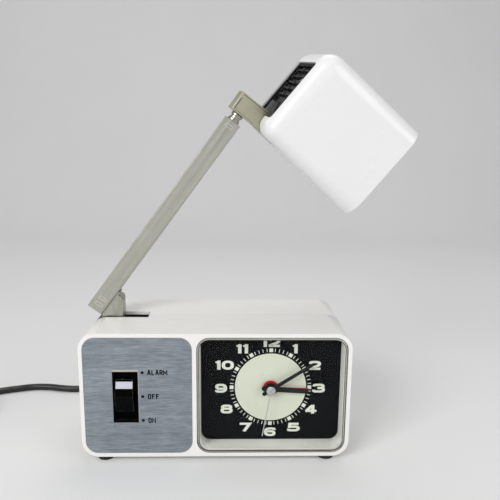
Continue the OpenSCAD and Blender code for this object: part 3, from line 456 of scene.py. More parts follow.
def turned(bm, profile, origin, axis, side, turns=48, end=True):
    """A turned form: pairs of distance along the axis and radius, in millimetres."""
    axis, side = Vector(axis).normalized(), Vector(side).normalized()
    other = axis.cross(side)
    rings = []
    for along, radius in profile:
        centre = Vector(origin) + axis * (along * MM)
        reach = max(radius, 0.001) * MM
        angles = (2 * math.pi * i / turns for i in range(turns))
        rings.append([centre + (side * math.cos(a) + other * math.sin(a)) * reach for a in angles])
    loft(bm, rings, end=end)


def soft_corner(corners, closed=False, steps=6):
    """A flat line through corners of (x, y) or (x, y, reach); a reach rounds that corner."""
    line = []
    count = len(corners)
    for i, corner in enumerate(corners):
        here = Vector(corner[:2])
        if len(corner) < 3 or (not closed and i in (0, count - 1)):
            line.append(here)
            continue
        before = Vector(corners[i - 1][:2]) - here
        after = Vector(corners[(i + 1) % count][:2]) - here
        first = here + before.normalized() * min(corner[2], before.length * 0.499)
        last = here + after.normalized() * min(corner[2], after.length * 0.499)
        for k in range(steps + 1):
            t = k / steps
            line.append(first * (1 - t) ** 2 + here * (2 * t * (1 - t)) + last * t**2)
    return line


def round_box(half_w, half_h, radius, steps):
    """A flat rounded rectangle round the origin."""
    line = []
    for k, (i, j) in enumerate(QUARTERS):
        for n in range(steps + 1):
            a = math.radians(90 * (k + n / steps))
            x = i * (half_w - radius) + radius * math.cos(a)
            line.append(Vector((x, j * (half_h - radius) + radius * math.sin(a))))
    return line


def round_edges(made, millimetres, segments=2):
    """Rounds a piece's sharp edges."""
    bevel = made.modifiers.new("Rounded edges", "BEVEL")
    bevel.width = millimetres * MM
    bevel.segments = segments
    bevel.limit_method = "ANGLE"
    bevel.angle_limit = math.radians(40)
    bevel.harden_normals = True


def stroke(bm, line, half, to_space, closed=False):
    """A printed stroke of even width along a flat line, as a thin solid."""
    count = len(line)
    rings = []
    for i, p in enumerate(line):
        back = p - line[i - 1] if closed or i else Vector((0, 0))
        on = line[(i + 1) % count] - p if closed or i < count - 1 else Vector((0, 0))
        into = (on if on.length else back).normalized()
        turn = (back.normalized() + on.normalized()).normalized()
        left = Vector((-turn.y, turn.x))
        wide = half / max(left.dot(Vector((-into.y, into.x))), 0.45)
        a, b = p + left * wide, p - left * wide
        rings.append([to_space(a, 0), to_space(b, 0), to_space(b, 1), to_space(a, 1)])
    if closed:
        rings.append(rings[0])
    loft(bm, rings, start=not closed, end=not closed)


# Settings


def lamp_power(name, description, watts):
    """A lamp's power setting with its default."""
    return FloatProperty(name=name, description=description, default=watts, min=0, subtype="POWER")


class ClockStageSettings(PropertyGroup):
    """Floor, lamps and sky."""

    floor_colour: colour("Floor", "Colour of the floor and backdrop", 232, 232, 232)
    key_power: lamp_power("Key lamp", "Large lamp at the front left", 18.0)
    fill_power: lamp_power("Fill lamp", "Weak lamp at the right", 6.0)
    top_power: lamp_power("Top lamp", "Lamp above the clock", 3.0)
    sky_level: FloatProperty(
        name="Sky", description="Even light from all round", default=0.42, min=0, max=2
    )


class ClockCaseSettings(PropertyGroup):
    """Shells, feet and screws."""

    shell_colour: colour("Shells", "Warm white of the moulded shells", 240, 239, 236)
    aged_colour: colour("Aged shells", "Where the white has yellowed a little", 236, 234, 228)
    foot_colour: colour("Feet", "Black rubber", 24, 24, 25)
    edge_radius: size("Shell edges", "Rounding of the shells' outer edges", 0.7, 2)


class ClockPanelSettings(PropertyGroup):
    """Brushed panel, its printing and the switch."""

    plate_colour: colour("Panel", "Brushed aluminium", 112, 120, 129)
    streak_colour: colour("Streaks", "Brightest brushed lines", 190, 199, 206)
    print_colour: colour("Print", "Black printing ink", 8, 8, 10)
    switch_colour: colour("Switch", "Black switch plastic", 2, 2, 3)
    # The white marker stands in for a lamp's reflection on the rocker's upper slope: a painted reflection.
    marker_reflection_colour: colour("Marker", "White marker in the rocker", 204, 205, 214)
    # Colour of the pale strips along the switch opening's top and right edges, a painted highlight.
    edge_highlight_colour: colour("Edge highlight", "Pale edge inside the switch opening", 196, 192, 176)
    letter_height: size("Letters", "Height of the printed words", 3.9, 6)


class ClockDialSettings(PropertyGroup):
    """Dial, hands and lens."""

    tunnel_colour: colour("Frame", "Pale plastic frame behind the lens", 250, 249, 242)
    gasket_colour: colour("Gasket", "Dark brown line round the lens", 44, 38, 30)
    plate_colour: colour("Dial", "Black dial plate", 4, 4, 6)
    disc_colour: colour("Disc", "Cream centre disc", 226, 226, 209)
    numeral_colour: colour("Numerals", "Off-white numerals", 236, 238, 226)
    hand_colour: colour("Hands", "Black hour and minute hands", 17, 17, 18)
    alarm_colour: colour("Alarm hand", "Red alarm hand", 200, 22, 32)
    second_colour: colour("Seconds hand", "Silver seconds hand", 186, 188, 190)
    numeral_height: size("Numeral height", "Height of the dial numbers", 7.3, 9)
    dash_width: size("Minute dashes", "Width of the fine minute marks", 0.5, 1)


class ClockMovementSettings(PropertyGroup):
    """Movement and knobs."""

    brass_colour: colour("Brass", "Plates and wheels", 196, 164, 96)
    steel_colour: colour("Steel", "Motor can, screws and arbors", 168, 170, 172)
    copper_colour: colour("Copper", "Wire of the motor coil", 178, 104, 58)
    knob_colour: colour("Time knob", "Cream knob that sets the time", 228, 224, 212)


class ClockArmSettings(PropertyGroup):
    """Folding arm and its joints."""

    nickel_colour: colour("Nickel", "Brushed nickel plate, slightly olive", 158, 158, 150)
    bracket_colour: colour("Head bracket", "Nickel plate that has yellowed more", 190, 186, 158)
    # The bright nickel is also the painted highlight on sheet-metal edges and the light end of the brushed
    # lines.
    shine_colour: colour("Bright nickel", "Polished edges and washers", 226, 225, 214)
    tarnish_colour: colour("Tarnish", "Dull patches of the plating", 128, 122, 100)
    edge_radius: size("Sheet edges", "Rounding of the sheet metal's edges", 0.25, 1)


class ClockHeadSettings(PropertyGroup):
    """Shade, grille and bulb."""

    paint_colour: colour("Shade", "White stove enamel", 238, 238, 239)
    grille_colour: colour("Grille", "Black heat-proof plastic", 12, 12, 13)
    glass_colour: colour("Bulb", "Opal glass", 244, 243, 238)
    ring_points: IntProperty(
        name="Corner steps", description="Steps round each corner of the shade", default=10, min=4, max=24
    )


class ClockLeadSettings(PropertyGroup):
    """Mains lead with its plug."""

    lead_colour: colour("Lead", "Black flexible plastic", 16, 16, 17)
    plug_colour: colour("Plug", "Black moulded plug", 22, 22, 23)
    pin_colour: colour("Pins", "Nickelled pins", 200, 198, 190)
    diameter: size("Lead diameter", "Outer diameter of the lead", 6, 8)


SETTINGS = {
    "clock_stage": ClockStageSettings,
    "clock_case": ClockCaseSettings,
    "clock_panel": ClockPanelSettings,
    "clock_dial": ClockDialSettings,
    "clock_movement": ClockMovementSettings,
    "clock_arm": ClockArmSettings,
    "clock_head": ClockHeadSettings,
    "clock_lead": ClockLeadSettings,
}


# Stage and camera, in metres

FLOOR_REACH = 9.0
BACKDROP_START = 0.9
BACKDROP_BEND = 0.8
BACKDROP_TOP = 3.5
SEEN_SKY = (0.86, 0.86, 0.86, 1)
LAMPS = {
    "key": ((-0.95, -1.25, 1.05), (0, 0, 0.12), 0.9),
    "fill": ((1.3, -0.9, 0.7), (0, 0, 0.12), 0.9),
    "top": ((0.15, 0.35, 1.35), (0, 0, 0.1), 0.8),
}
CAMERA_PLACE = (0.01298, -0.42702, 0.23637)
CAMERA_RIGHT = Vector((0.99959, -0.0264, 0.01097))
CAMERA_UP = Vector((-0.00579, 0.18892, 0.98198))
CAMERA_FORWARD = Vector((0.0280, 0.98164, -0.18869))
CAMERA_SENSOR_MM = 36.0
CAMERA_LENS_MM = 39.85


def floor_material(colour_of_floor):
    """Matt paper with faint pale patches."""
    material, tree, surface = open_material("floor_paper")
    skin = place_group(tree, skin_group, Grain=400.0, Patch=3.0)
    paler = tuple(min(1.0, 1.04 * v) for v in colour_of_floor[:3]) + (1.0,)
    shown = cover(tree, colour_of_floor, skin["Patches"], 0.5, paler)
    feed(tree, surface, {"Base Color": shown, "Roughness": 0.85})
    return material


def floor_mesh():
    """A floor that bends up into the backdrop."""
    line = [(-FLOOR_REACH, 0.0), (BACKDROP_START, 0.0)]
    for i in range(1, 19):
        a = math.radians(5 * i)
        y = BACKDROP_START + BACKDROP_BEND * math.sin(a)
        line.append((y, BACKDROP_BEND - BACKDROP_BEND * math.cos(a)))
    line.append((BACKDROP_START + BACKDROP_BEND, BACKDROP_TOP))
    rows = [[Vector((-FLOOR_REACH, y, z)), Vector((FLOOR_REACH, y, z))] for y, z in line]
    bm = bmesh.new()
    loft(bm, rows, closed=False, start=False, end=False)
    return close_mesh("floor", bm)


def studio_world(level):
    """Even light from all round, which the camera and the lens see as pale grey."""
    world = bpy.data.worlds.new("studio")
    world.use_nodes = True
    sky = world.node_tree
    sky.nodes.clear()
    path = add(sky, "ShaderNodeLightPath").outputs
    seen = calc(sky, "MAXIMUM", path["Is Camera Ray"], path["Is Transmission Ray"])
    light = add(sky, "ShaderNodeBackground", {"Color": (1, 1, 1, 1), "Strength": level}).outputs[0]
    grey = add(sky, "ShaderNodeBackground", {"Color": SEEN_SKY, "Strength": 1.0}).outputs[0]
    both = add(sky, "ShaderNodeMixShader", {0: seen, 1: light, 2: grey}).outputs[0]
    add(sky, "ShaderNodeOutputWorld", {"Surface": both})
    return world


def area_lamp(name, power):
    """A square soft lamp that looks at a point."""
    place, aim, width = LAMPS[name]
    data = bpy.data.lights.new(name + "_lamp", "AREA")
    data.size = width
    data.energy = power
    lamp = link(name + "_lamp", data)
    lamp.location = place
    lamp.rotation_euler = (Vector(aim) - Vector(place)).to_track_quat("-Z", "Y").to_euler()


def photo_camera():
    """A camera where the photo's camera was."""
    data = bpy.data.cameras.new("photo_camera")
    data.sensor_width = CAMERA_SENSOR_MM
    data.lens = CAMERA_LENS_MM
    data.clip_start = 0.01
    camera = link("photo_camera", data)
    turn = Matrix((CAMERA_RIGHT, CAMERA_UP, -CAMERA_FORWARD)).transposed().to_4x4()
    camera.matrix_world = Matrix.Translation(CAMERA_PLACE) @ turn
    return camera


class OBJECT_OT_clock_stage(Operator):
    """Lay the floor and backdrop, hang the lamps and set up the camera"""

    bl_idname = "object.clock_stage"
    bl_label = "Stage and Camera"

    def execute(self, context):
        s = context.scene.clock_stage
        mesh = floor_mesh()
        mesh.materials.append(floor_material(s.floor_colour))
        mesh.shade_smooth()
        floor = link("floor", mesh)
        context.scene.world = studio_world(s.sky_level)
        area_lamp("key", s.key_power)
        area_lamp("fill", s.fill_power)
        area_lamp("top", s.top_power)
        context.scene.camera = photo_camera()
        context.scene.view_settings.view_transform = "Standard"
        return {"FINISHED"}


# Mains lead

LEAD_ROUTE = [
    (-60, 67, 16), (-60, 73, 16), (-61, 83, 13), (-66, 92, 8), (-77, 97, 4), (-92, 95, 3),
    (-107, 88, 3), (-121, 80, 3), (-136, 75, 3), (-151, 76, 3), (-165, 79, 3), (-180, 79, 3),
    (-195, 75, 3), (-209, 70, 3), (-222, 65, 3), (-232, 61, 3), (-238, 60, 3), (-244, 60, 3),
]
LEAD_TAIL = [
    (-295, 9, 9.3), (-295, 3, 9.3), (-296, -8, 6.6), (-297, -19, 4.6), (-298, -30, 4.8),
    (-298, -41, 6.8), (-298, -47, 6.8),
]
COIL_CENTRE = (-250, 15)
COIL_TURNS = 7.25
COIL_RADIUS = 45
COIL_PITCH = 6.5
LOWER_LAYER = 3.0
LAYER_STEP = 6.3
CLIMB_FROM = 3.375
CLIMB_TURNS = 0.5
RELIEF_AT = (-60, 45, 16)
PLUG_X, PLUG_Y, PLUG_Z = -298, -47, 6.8
PIN_SPREAD = 9.3
PIN_Y = -95


def coil_loops():
    """Points of the coil: in along the lower layer, out along the upper one."""
    points = []
    steps = int(COIL_TURNS * 24)
    for i in range(steps + 1):
        t = COIL_TURNS * i / steps
        radius = COIL_RADIUS - COIL_PITCH * min(t, COIL_TURNS - t)
        climb = max(0.0, min(1.0, (t - CLIMB_FROM) / CLIMB_TURNS))
        height = LOWER_LAYER + LAYER_STEP * (climb * climb * (3 - 2 * climb))
        angle = 2 * math.pi * t
        x = COIL_CENTRE[0] - radius * math.sin(angle)
        points.append((x, COIL_CENTRE[1] + radius * math.cos(angle), height))
    return points


def lead_curve(diameter):
    """The lead's curve, from the strain relief through the coil to the plug."""
    curve = bpy.data.curves.new("mains_lead", "CURVE")
    curve.dimensions = "3D"
    curve.resolution_u = 4
    curve.bevel_depth = diameter / 2
    curve.bevel_resolution = 6
    curve.use_fill_caps = True
    points = LEAD_ROUTE + coil_loops() + LEAD_TAIL
    line = curve.splines.new("BEZIER")
    line.bezier_points.add(len(points) - 1)
    for knot, point in zip(line.bezier_points, points):
        knot.co = at(*point)
        knot.handle_left_type = knot.handle_right_type = "AUTO"
    return curve


def relief_mesh():
    """The ribbed strain relief."""
    profile = [(-8.0, 4.4), (-2.6, 4.4), (-2.6, 5.9), (0.0, 5.9), (1.6, 5.9), (2.1, 5.4)]
    for i in range(6):
        wide = 5.3 - 0.28 * i
        rib = [(0, -0.9), (0.5, -0.15), (0.9, 0), (1.5, 0), (1.9, -0.2), (2.3, -0.95)]
        profile += [(3.4 + 2.9 * i + along, wide + more) for along, more in rib]
    profile += [(21.0, 3.7), (21.7, 3.55), (22.0, 3.2), (22.0, 3.02)]
    bm = bmesh.new()
    turned(bm, profile, at(*RELIEF_AT), (0, 1, 0), (1, 0, 0), turns=40)
    return bm


def plug_mesh():
    """The flat plug body, with rings on its neck and grips on its sides."""
    stations = [(0, 3.3, 3.3, 2.0), (0.4, 3.8, 3.8, 2.0)]
    for i in range(4):
        start = 1.0 + 3.0 * i
        for along, more in ((0, 0), (1.5, 0.1), (1.8, -0.6), (2.7, -0.6)):
            wide = 4.1 + 0.35 * i + more
            stations.append((start + along, wide, wide, 2.0))
    stations += [(13.4, 5.2, 5.0, 2.0), (15.0, 7.6, 5.6, 2.2), (17.0, 11.2, 6.2, 2.4)]
    for i in range(25):
        swell = 14.6 + 2.5 * math.sin(math.pi * min(1.0, i / 18) / 2)
        grip = 0.5 * (1 - math.cos(2 * math.pi * i / 4)) / 2 if 2 <= i <= 18 else 0.0
        stations.append((19.0 + 0.85 * i, swell - grip, 6.65, 2.6))
    stations += [(42, 17.3, 6.7, 2.8), (46.2, 17.3, 6.6, 3.0), (47.3, 16.9, 6.2, 3.0), (48, 16.0, 5.4, 3.0)]

    def boxed(value, power):
        return math.copysign(abs(value) ** (2 / power), value)

    rings = []
    for along, wide, tall, power in stations:
        ring = []
        for k in range(56):
            a = 2 * math.pi * k / 56
            x = PLUG_X + wide * boxed(math.cos(a), power)
            ring.append(at(x, PLUG_Y - along, PLUG_Z + tall * boxed(math.sin(a), power)))
        rings.append(ring)
    bm = bmesh.new()
    loft(bm, rings)
    return bm


def pin_pair(profile):
    """The same turned form on both of the plug's pins."""
    bm = bmesh.new()
    for x in (PLUG_X - PIN_SPREAD, PLUG_X + PIN_SPREAD):
        turned(bm, profile, at(x, PIN_Y, PLUG_Z), (0, -1, 0), (1, 0, 0), turns=28)
    return bm


class OBJECT_OT_clock_lead(Operator):
    """Lay the mains lead with its strain relief, coil, tie and plug"""

    bl_idname = "object.clock_lead"
    bl_label = "Mains Lead"

    def execute(self, context):
        s = context.scene.clock_lead
        rubber = moulded(
            "lead_plastic", s.lead_colour, srgb(30, 30, 31), roughness=0.38, grain=2600.0,
            depth=0.000012, dust=0.28, specks=0.4, corners=0.2,
        )
        body = moulded(
            "plug_plastic", s.plug_colour, srgb(34, 34, 35), roughness=0.42, grain=3000.0,
            depth=0.00002, dust=0.3, specks=0.4, edge=0.3, edge_colour=srgb(70, 70, 70),
        )
        curve = lead_curve(s.diameter)
        curve.materials.append(rubber)
        lead = link("mains_lead", curve)
        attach(lead, "case")
        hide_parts("mains_cord", "cord_coil", "cord_tail")
        relief = piece("ribbed_relief", relief_mesh(), rubber, "case", "strain_relief")
        plug = piece("moulded_plug", plug_mesh(), body, "case", "plug")
        pin_metal = brushed(
            "pin_metal", s.pin_colour, srgb(236, 234, 226), srgb(150, 140, 110), across=5000.0,
            along=100.0, roughness=0.22,
        )
        bm = pin_pair([(-0.6, 1.9), (0.1, 1.9), (16.6, 1.9), (17.8, 1.75), (18.6, 1.3), (19.0, 0.6)])
        pins = piece("turned_pins", bm, pin_metal, "case", "plug_pins")
        bm = pin_pair([(-0.5, 1.98), (9.2, 1.98), (9.6, 1.92), (9.7, 1.85)])
        sleeves = piece("pin_sleeves", bm, body, "case", None)
        strap = moulded(
            "tie_strap", srgb(30, 30, 31), srgb(46, 46, 47), roughness=0.6, grain=1900.0, depth=0.00006,
            dust=0.4, specks=0.5,
        )
        dress("coil_tie", strap, 0.4)
        return {"FINISHED"}


# Case


class OBJECT_OT_clock_case(Operator):
    """Finish the two shells, the feet, the screws and the terminal block"""

    bl_idname = "object.clock_case"
    bl_label = "Case"

    def execute(self, context):
        s = context.scene.clock_case
        # The shells' corners get painted shade, tinted a warm brown like grime.
        shell = moulded(
            "case_plastic", s.shell_colour, s.aged_colour, roughness=0.3, grain=700.0,
            depth=0.000012, patch=22.0, dust=0.03, corners=0.4,
            corner_shade_colour=srgb(150, 140, 120), coat=0.15,
        )
        dress("front_shell rear_shell", shell, s.edge_radius / MM, 3)
        foot = moulded(
            "foot_rubber", s.foot_colour, srgb(44, 43, 42), roughness=0.75, grain=2400.0,
            depth=0.00005, dust=0.5, specks=0.4,
        )
        dress("feet", foot, 0.5, 3)
        zinc = brushed(
            "zinc_steel", srgb(165, 166, 166), srgb(222, 222, 220), srgb(110, 104, 90),
            across=3600.0, along=500.0, roughness=0.3, contrast=0.6,
        )
        dress("case_screws", zinc, 0.2)
        white = moulded(
            "terminal_plastic", srgb(232, 230, 222), srgb(216, 210, 192), roughness=0.5, dust=0.4
        )
        dress("terminal_block", white, 0.3)
        return {"FINISHED"}


# Panel and switch

LETTERS = {
    "A": [[(-0.25, -0.5), (-0.03, 0.5), (0.03, 0.5), (0.25, -0.5)], [(-0.17, -0.16), (0.17, -0.16)]],
    "L": [[(-0.2, 0.5), (-0.2, -0.44), (0.22, -0.44)]],
    "R": [
        [(-0.21, -0.5), (-0.21, 0.44), (0.2, 0.44, 0.16), (0.2, 0.0, 0.16), (-0.21, 0.0)],
        [(0.02, 0.0), (0.22, -0.5)],
    ],
    "M": [[(-0.32, -0.5), (-0.32, 0.44), (0, -0.2), (0.32, 0.44), (0.32, -0.5)]],
    "O": [[(-0.21, -0.44, 0.2), (0.21, -0.44, 0.2), (0.21, 0.44, 0.2), (-0.21, 0.44, 0.2)]],
    "F": [[(-0.2, -0.5), (-0.2, 0.44), (0.22, 0.44)], [(-0.2, 0.02), (0.15, 0.02)]],
    "N": [[(-0.26, -0.5), (-0.26, 0.44), (0.26, -0.44), (0.26, 0.5)]],
}
LABELS = [("ALARM", 71.2), ("OFF", 52.4), ("ON", 33.4)]
LETTER_STROKE = 0.105
LETTER_LIFT = 0.03
LETTER_STEP = 0.76
WIDE_LETTER_STEP = 0.86
DOT_RADIUS = 1.12
DOT_X = -54.0
WORD_X = -51.0


class OBJECT_OT_clock_panel(Operator):
    """Finish the brushed panel and print its dots and words"""

    bl_idname = "object.clock_panel"
    bl_label = "Brushed Panel"

    def execute(self, context):
        s = context.scene.clock_panel
        # The panel's edges get a strong painted highlight (edge 0.9).
        plate = brushed(
            "brushed_aluminium", s.plate_colour, s.streak_colour, srgb(120, 128, 136),
            direction=(1, 0, 0), across=2300.0, along=95.0, roughness=0.36, contrast=0.85,
            depth=0.00001, edge=0.9, tarnish=0.3, metallic=0.85, bands=0.2,
        )
        dress("faceplate", plate, 0.15)
        ink = moulded(
            "panel_ink", s.print_colour, srgb(20, 20, 22), roughness=0.45, grain=5000.0,
            depth=0.000004, dust=0.0, corners=0.0, shine=0.1,
        )
        bm = bmesh.new()
        tall = s.letter_height / MM
        dot = [(0.0, DOT_RADIUS), (0.05, DOT_RADIUS)]
        for word, z in LABELS:
            turned(bm, dot, at(DOT_X, INK_BACK_Y, z), (0, -1, 0), (1, 0, 0), turns=24)
            x = WORD_X + 0.5 * tall
            for letter in word:
                closed = letter == "O"
                for k, corners in enumerate(LETTERS[letter]):

                    def to_space(p, deep, x=x, z=z, k=k):
                        y = INK_BACK_Y if deep else PLATE_Y - LETTER_LIFT - 0.004 * k
                        return at(x + p.x * tall, y, z + p.y * tall)

                    stroke(bm, soft_corner(corners, closed), LETTER_STROKE, to_space, closed)
                x += tall * (WIDE_LETTER_STEP if letter == "M" else LETTER_STEP)
        piece("panel_print", bm, ink, "case", smooth=0)
        return {"FINISHED"}


# Pale strips along the top and right edges of the switch opening: a painted highlight where those edges
# catch the light.
HIGHLIGHT_STRIP_Y = (-44.96, -43.9)
HIGHLIGHT_STRIP_BOXES = ((-76.0, 71.8, -56.8, 73.3), (-57.2, 31.7, -56.8, 71.7))


class OBJECT_OT_clock_switch(Operator):
    """Finish the switch: its housing, body, rocker and marker"""

    bl_idname = "object.clock_switch"
    bl_label = "Switch"

    def execute(self, context):
        s = context.scene.clock_panel
        black = moulded(
            "switch_plastic", s.switch_colour, srgb(5, 5, 6), roughness=0.28, grain=1800.0,
            dust=0.05, specks=0.25, corners=0.2, edge=0.2, edge_colour=srgb(60, 60, 60), shine=0.02,
        )
        dress("switch_housing", black, 0.2)
        # The rocker's edges are lightened to grey: a painted highlight.
        worn_black = moulded(
            "rocker_plastic", s.switch_colour, srgb(5, 5, 6), roughness=0.22, grain=1800.0,
            dust=0.01, specks=0.3, corners=0.1, edge=0.7, edge_colour=srgb(110, 110, 112), shine=0.04,
        )
        dress("rocker", worn_black, 0.3, 3)
        # Painted reflection: the white marker on the rocker's upper slope stands for a lamp's reflection
        # there.
        marker = moulded(
            "marker_reflection_paint", s.marker_reflection_colour, srgb(192, 193, 204), roughness=0.3, dust=0.03, corners=0.0
        )
        dress("rocker_marker", marker, 0.25)
        grey = moulded(
            "switch_body_plastic", srgb(44, 44, 46), srgb(60, 59, 57), roughness=0.5, dust=0.3
        )
        dress("switch_body", grey, 0.3)
        # Painted highlight: pale strips along the opening's top and right edges.
        highlight_paint = moulded(
            "switch_edge_highlight", s.edge_highlight_colour, srgb(150, 144, 132), dust=0.1, corners=0.1
        )
        bm = bmesh.new()
        for left, low, right, high in HIGHLIGHT_STRIP_BOXES:
            corners = ((left, low), (right, low), (right, high), (left, high))
            loft(bm, [[at(x, y, z) for x, z in corners] for y in HIGHLIGHT_STRIP_Y])
        round_edges(piece("switch_edge_highlight", bm, highlight_paint, "case", None, smooth=0), 0.12)
        return {"FINISHED"}


# Dial

NUMERALS = {
    "0": [[(-0.315, -0.375, 0.33), (0.315, -0.375, 0.33), (0.315, 0.375, 0.33), (-0.315, 0.375, 0.33)]],
    "1": [[(0.06, -0.5), (0.06, 0.5)], [(-0.17, 0.28), (-0.02, 0.34), (0.1, 0.45)]],
    "2": [
        [
            (-0.33, 0.17), (-0.31, 0.375, 0.2), (0.3, 0.375, 0.22), (0.32, 0.02, 0.2),
            (-0.28, -0.3), (-0.28, -0.375), (0.4, -0.375),
        ]
    ],
    "3": [
        [(-0.33, 0.2), (-0.33, 0.375, 0.16), (0.3, 0.375, 0.2), (0.3, 0.02, 0.18), (-0.1, 0.02)],
        [(-0.1, 0.02), (0.33, 0.02, 0.2), (0.33, -0.375, 0.22), (-0.36, -0.375, 0.16), (-0.36, -0.18)],
    ],
    "4": [
        [(0.12, -0.5), (0.12, 0.5)],
        [(0.08, 0.42), (-0.34, -0.17)],
        [(-0.42, -0.19), (0.4, -0.19)],
    ],
    "5": [
        [
            (0.36, 0.375), (-0.28, 0.375), (-0.3, 0.03), (0.33, 0.07, 0.24),
            (0.33, -0.375, 0.24), (-0.38, -0.375, 0.2), (-0.36, -0.2),
        ]
    ],
    "6": [
        [
            (0.33, 0.2), (0.31, 0.375, 0.16), (-0.31, 0.375, 0.33), (-0.31, -0.375, 0.33),
            (0.31, -0.375, 0.22), (0.31, 0.05, 0.22), (-0.25, 0.05),
        ]
    ],
    "7": [[(-0.4, 0.375), (0.33, 0.375), (-0.08, -0.5)]],
    "8": [
        [(-0.29, 0.04, 0.2), (0.29, 0.04, 0.2), (0.29, 0.375, 0.2), (-0.29, 0.375, 0.2)],
        [(-0.32, -0.375, 0.22), (0.32, -0.375, 0.22), (0.32, 0.04, 0.22), (-0.32, 0.04, 0.22)],
    ],
}
NUMERALS["9"] = [[(-c[0], -c[1], *c[2:]) for c in line] for line in NUMERALS["6"]]
HOURS = [
    ("12", -0.2, 36.3), ("1", 18.2, 31.2), ("2", 33.8, 17.8), ("3", 37.3, -0.8), ("4", 31.9, -18.3),
    ("5", 18.7, -33.3), ("6", 0.0, -37.2), ("7", -19.3, -33.1), ("8", -33.7, -18.0), ("9", -38.0, -0.8),
    ("10", -35.4, 18.0), ("11", -22.0, 31.1),
]
NUMERAL_STRETCH = 1.45
NUMERAL_STROKE = 0.122
NUMERAL_LIFT = 0.05
FLAG_STROKE = 0.1
DIGIT_WIDTH = 0.94
ONE_WIDTH = 0.47
FINE_MARK = (28.7, 31.3)
HOUR_MARK = (28.5, 31.4)
HOUR_MARK_HALF = 1.45


class OBJECT_OT_clock_dial(Operator):
    """Finish the dial and print its numerals and minute track"""

    bl_idname = "object.clock_dial"
    bl_label = "Dial"

    def execute(self, context):
        s = context.scene.clock_dial
        # The frame's corners get painted shade, towards a dark brown.
        frame_finish = moulded(
            "tunnel_plastic", s.tunnel_colour, srgb(242, 240, 232), roughness=0.36, grain=900.0,
            dust=0.02, corners=0.2, corner_shade_colour=srgb(96, 90, 80), specks=0.3,
        )
        dress("dial_frame", frame_finish, 0.3)
        plate = moulded(
            "dial_black", s.plate_colour, srgb(9, 10, 15), roughness=0.42, grain=2200.0,
            depth=0.000008, dust=0.1, dust_colour=srgb(96, 98, 104), specks=0.35, corners=0.0,
            patch=45.0, shine=0.1,
        )
        dress("dial_plate", plate, 0.1)
        disc = moulded(
            "dial_cream", s.disc_colour, srgb(216, 218, 198), roughness=0.5, grain=1800.0,
            depth=0.000006, patch=60.0, dust=0.0, specks=0.2, corners=0.1,
        )
        dress("dial_disc", disc, 0.06)
        ink = moulded(
            "numeral_ink", s.numeral_colour, srgb(222, 225, 208), roughness=0.5, grain=3000.0,
            patch=160.0, dust=0.0, corners=0.0, specks=0.15,
        )
        bm = bmesh.new()
        tall = s.numeral_height / MM
        broad = tall * NUMERAL_STRETCH
        layer = 0

        def flat(x, z, deep):
            y = DIAL_Y + 0.02 if deep else DIAL_Y - NUMERAL_LIFT - 0.003 * (layer % 5)
            return at(DIAL_CENTRE[0] + x, y, DIAL_CENTRE[1] + z)

        for word, across, up in HOURS:
            widths = [ONE_WIDTH if digit == "1" else DIGIT_WIDTH for digit in word]
            x = across - sum(widths) * broad / 2
            for digit, wide in zip(word, widths):
                centre = x + wide * broad / 2
                closed = digit in "08"
                for corners in NUMERALS[digit]:
                    line = soft_corner(corners, closed)
                    half = FLAG_STROKE if digit == "1" and len(line) == 3 else NUMERAL_STROKE

                    def to_space(p, deep, centre=centre, up=up):
                        return flat(centre + p.x * broad, up + p.y * tall, deep)

                    stroke(bm, line, half, to_space, closed)
                    layer += 1
                x += wide * broad
        for i in range(60):
            a = math.radians(6 * i)
            out = Vector((math.sin(a), math.cos(a)))
            at_hour = i % 5 == 0
            half = HOUR_MARK_HALF if at_hour else s.dash_width / MM / 2
            line = [out * reach for reach in (HOUR_MARK if at_hour else FINE_MARK)]
            stroke(bm, line, half, lambda p, deep: flat(p.x, p.y, deep))
        piece("dial_print", bm, ink, "case", smooth=0)
        return {"FINISHED"}


class OBJECT_OT_clock_hands(Operator):
    """Finish the four hands"""

    bl_idname = "object.clock_hands"
    bl_label = "Hands"

    def execute(self, context):
        s = context.scene.clock_dial
        black = moulded(
            "hand_lacquer", s.hand_colour, srgb(30, 30, 31), grain=4000.0, depth=0.000004,
            dust=0.1, specks=0.3, edge=0.3, edge_colour=srgb(64, 60, 52), shine=0.25,
        )
        dress("hour_hand minute_hand", black, 0.08)
        red = moulded(
            "hand_red", s.alarm_colour, srgb(186, 26, 30), roughness=0.38, grain=4000.0,
            depth=0.000004, dust=0.1, specks=0.2, corners=0.3,
        )
        dress("alarm_hand", red, 0.08)
        silver = brushed(
            "hand_silver", s.second_colour, srgb(226, 228, 230), srgb(140, 142, 146),
            direction=(0, 0, 1), across=4200.0, along=200.0, roughness=0.36, metallic=0.8,
        )
        dress("seconds_hand", silver, 0.12, 3)
        return {"FINISHED"}


GASKET_LINES = ((55.5, 45.3, 9.3, 0.16), (53.9, 43.7, 7.7, 0.24))


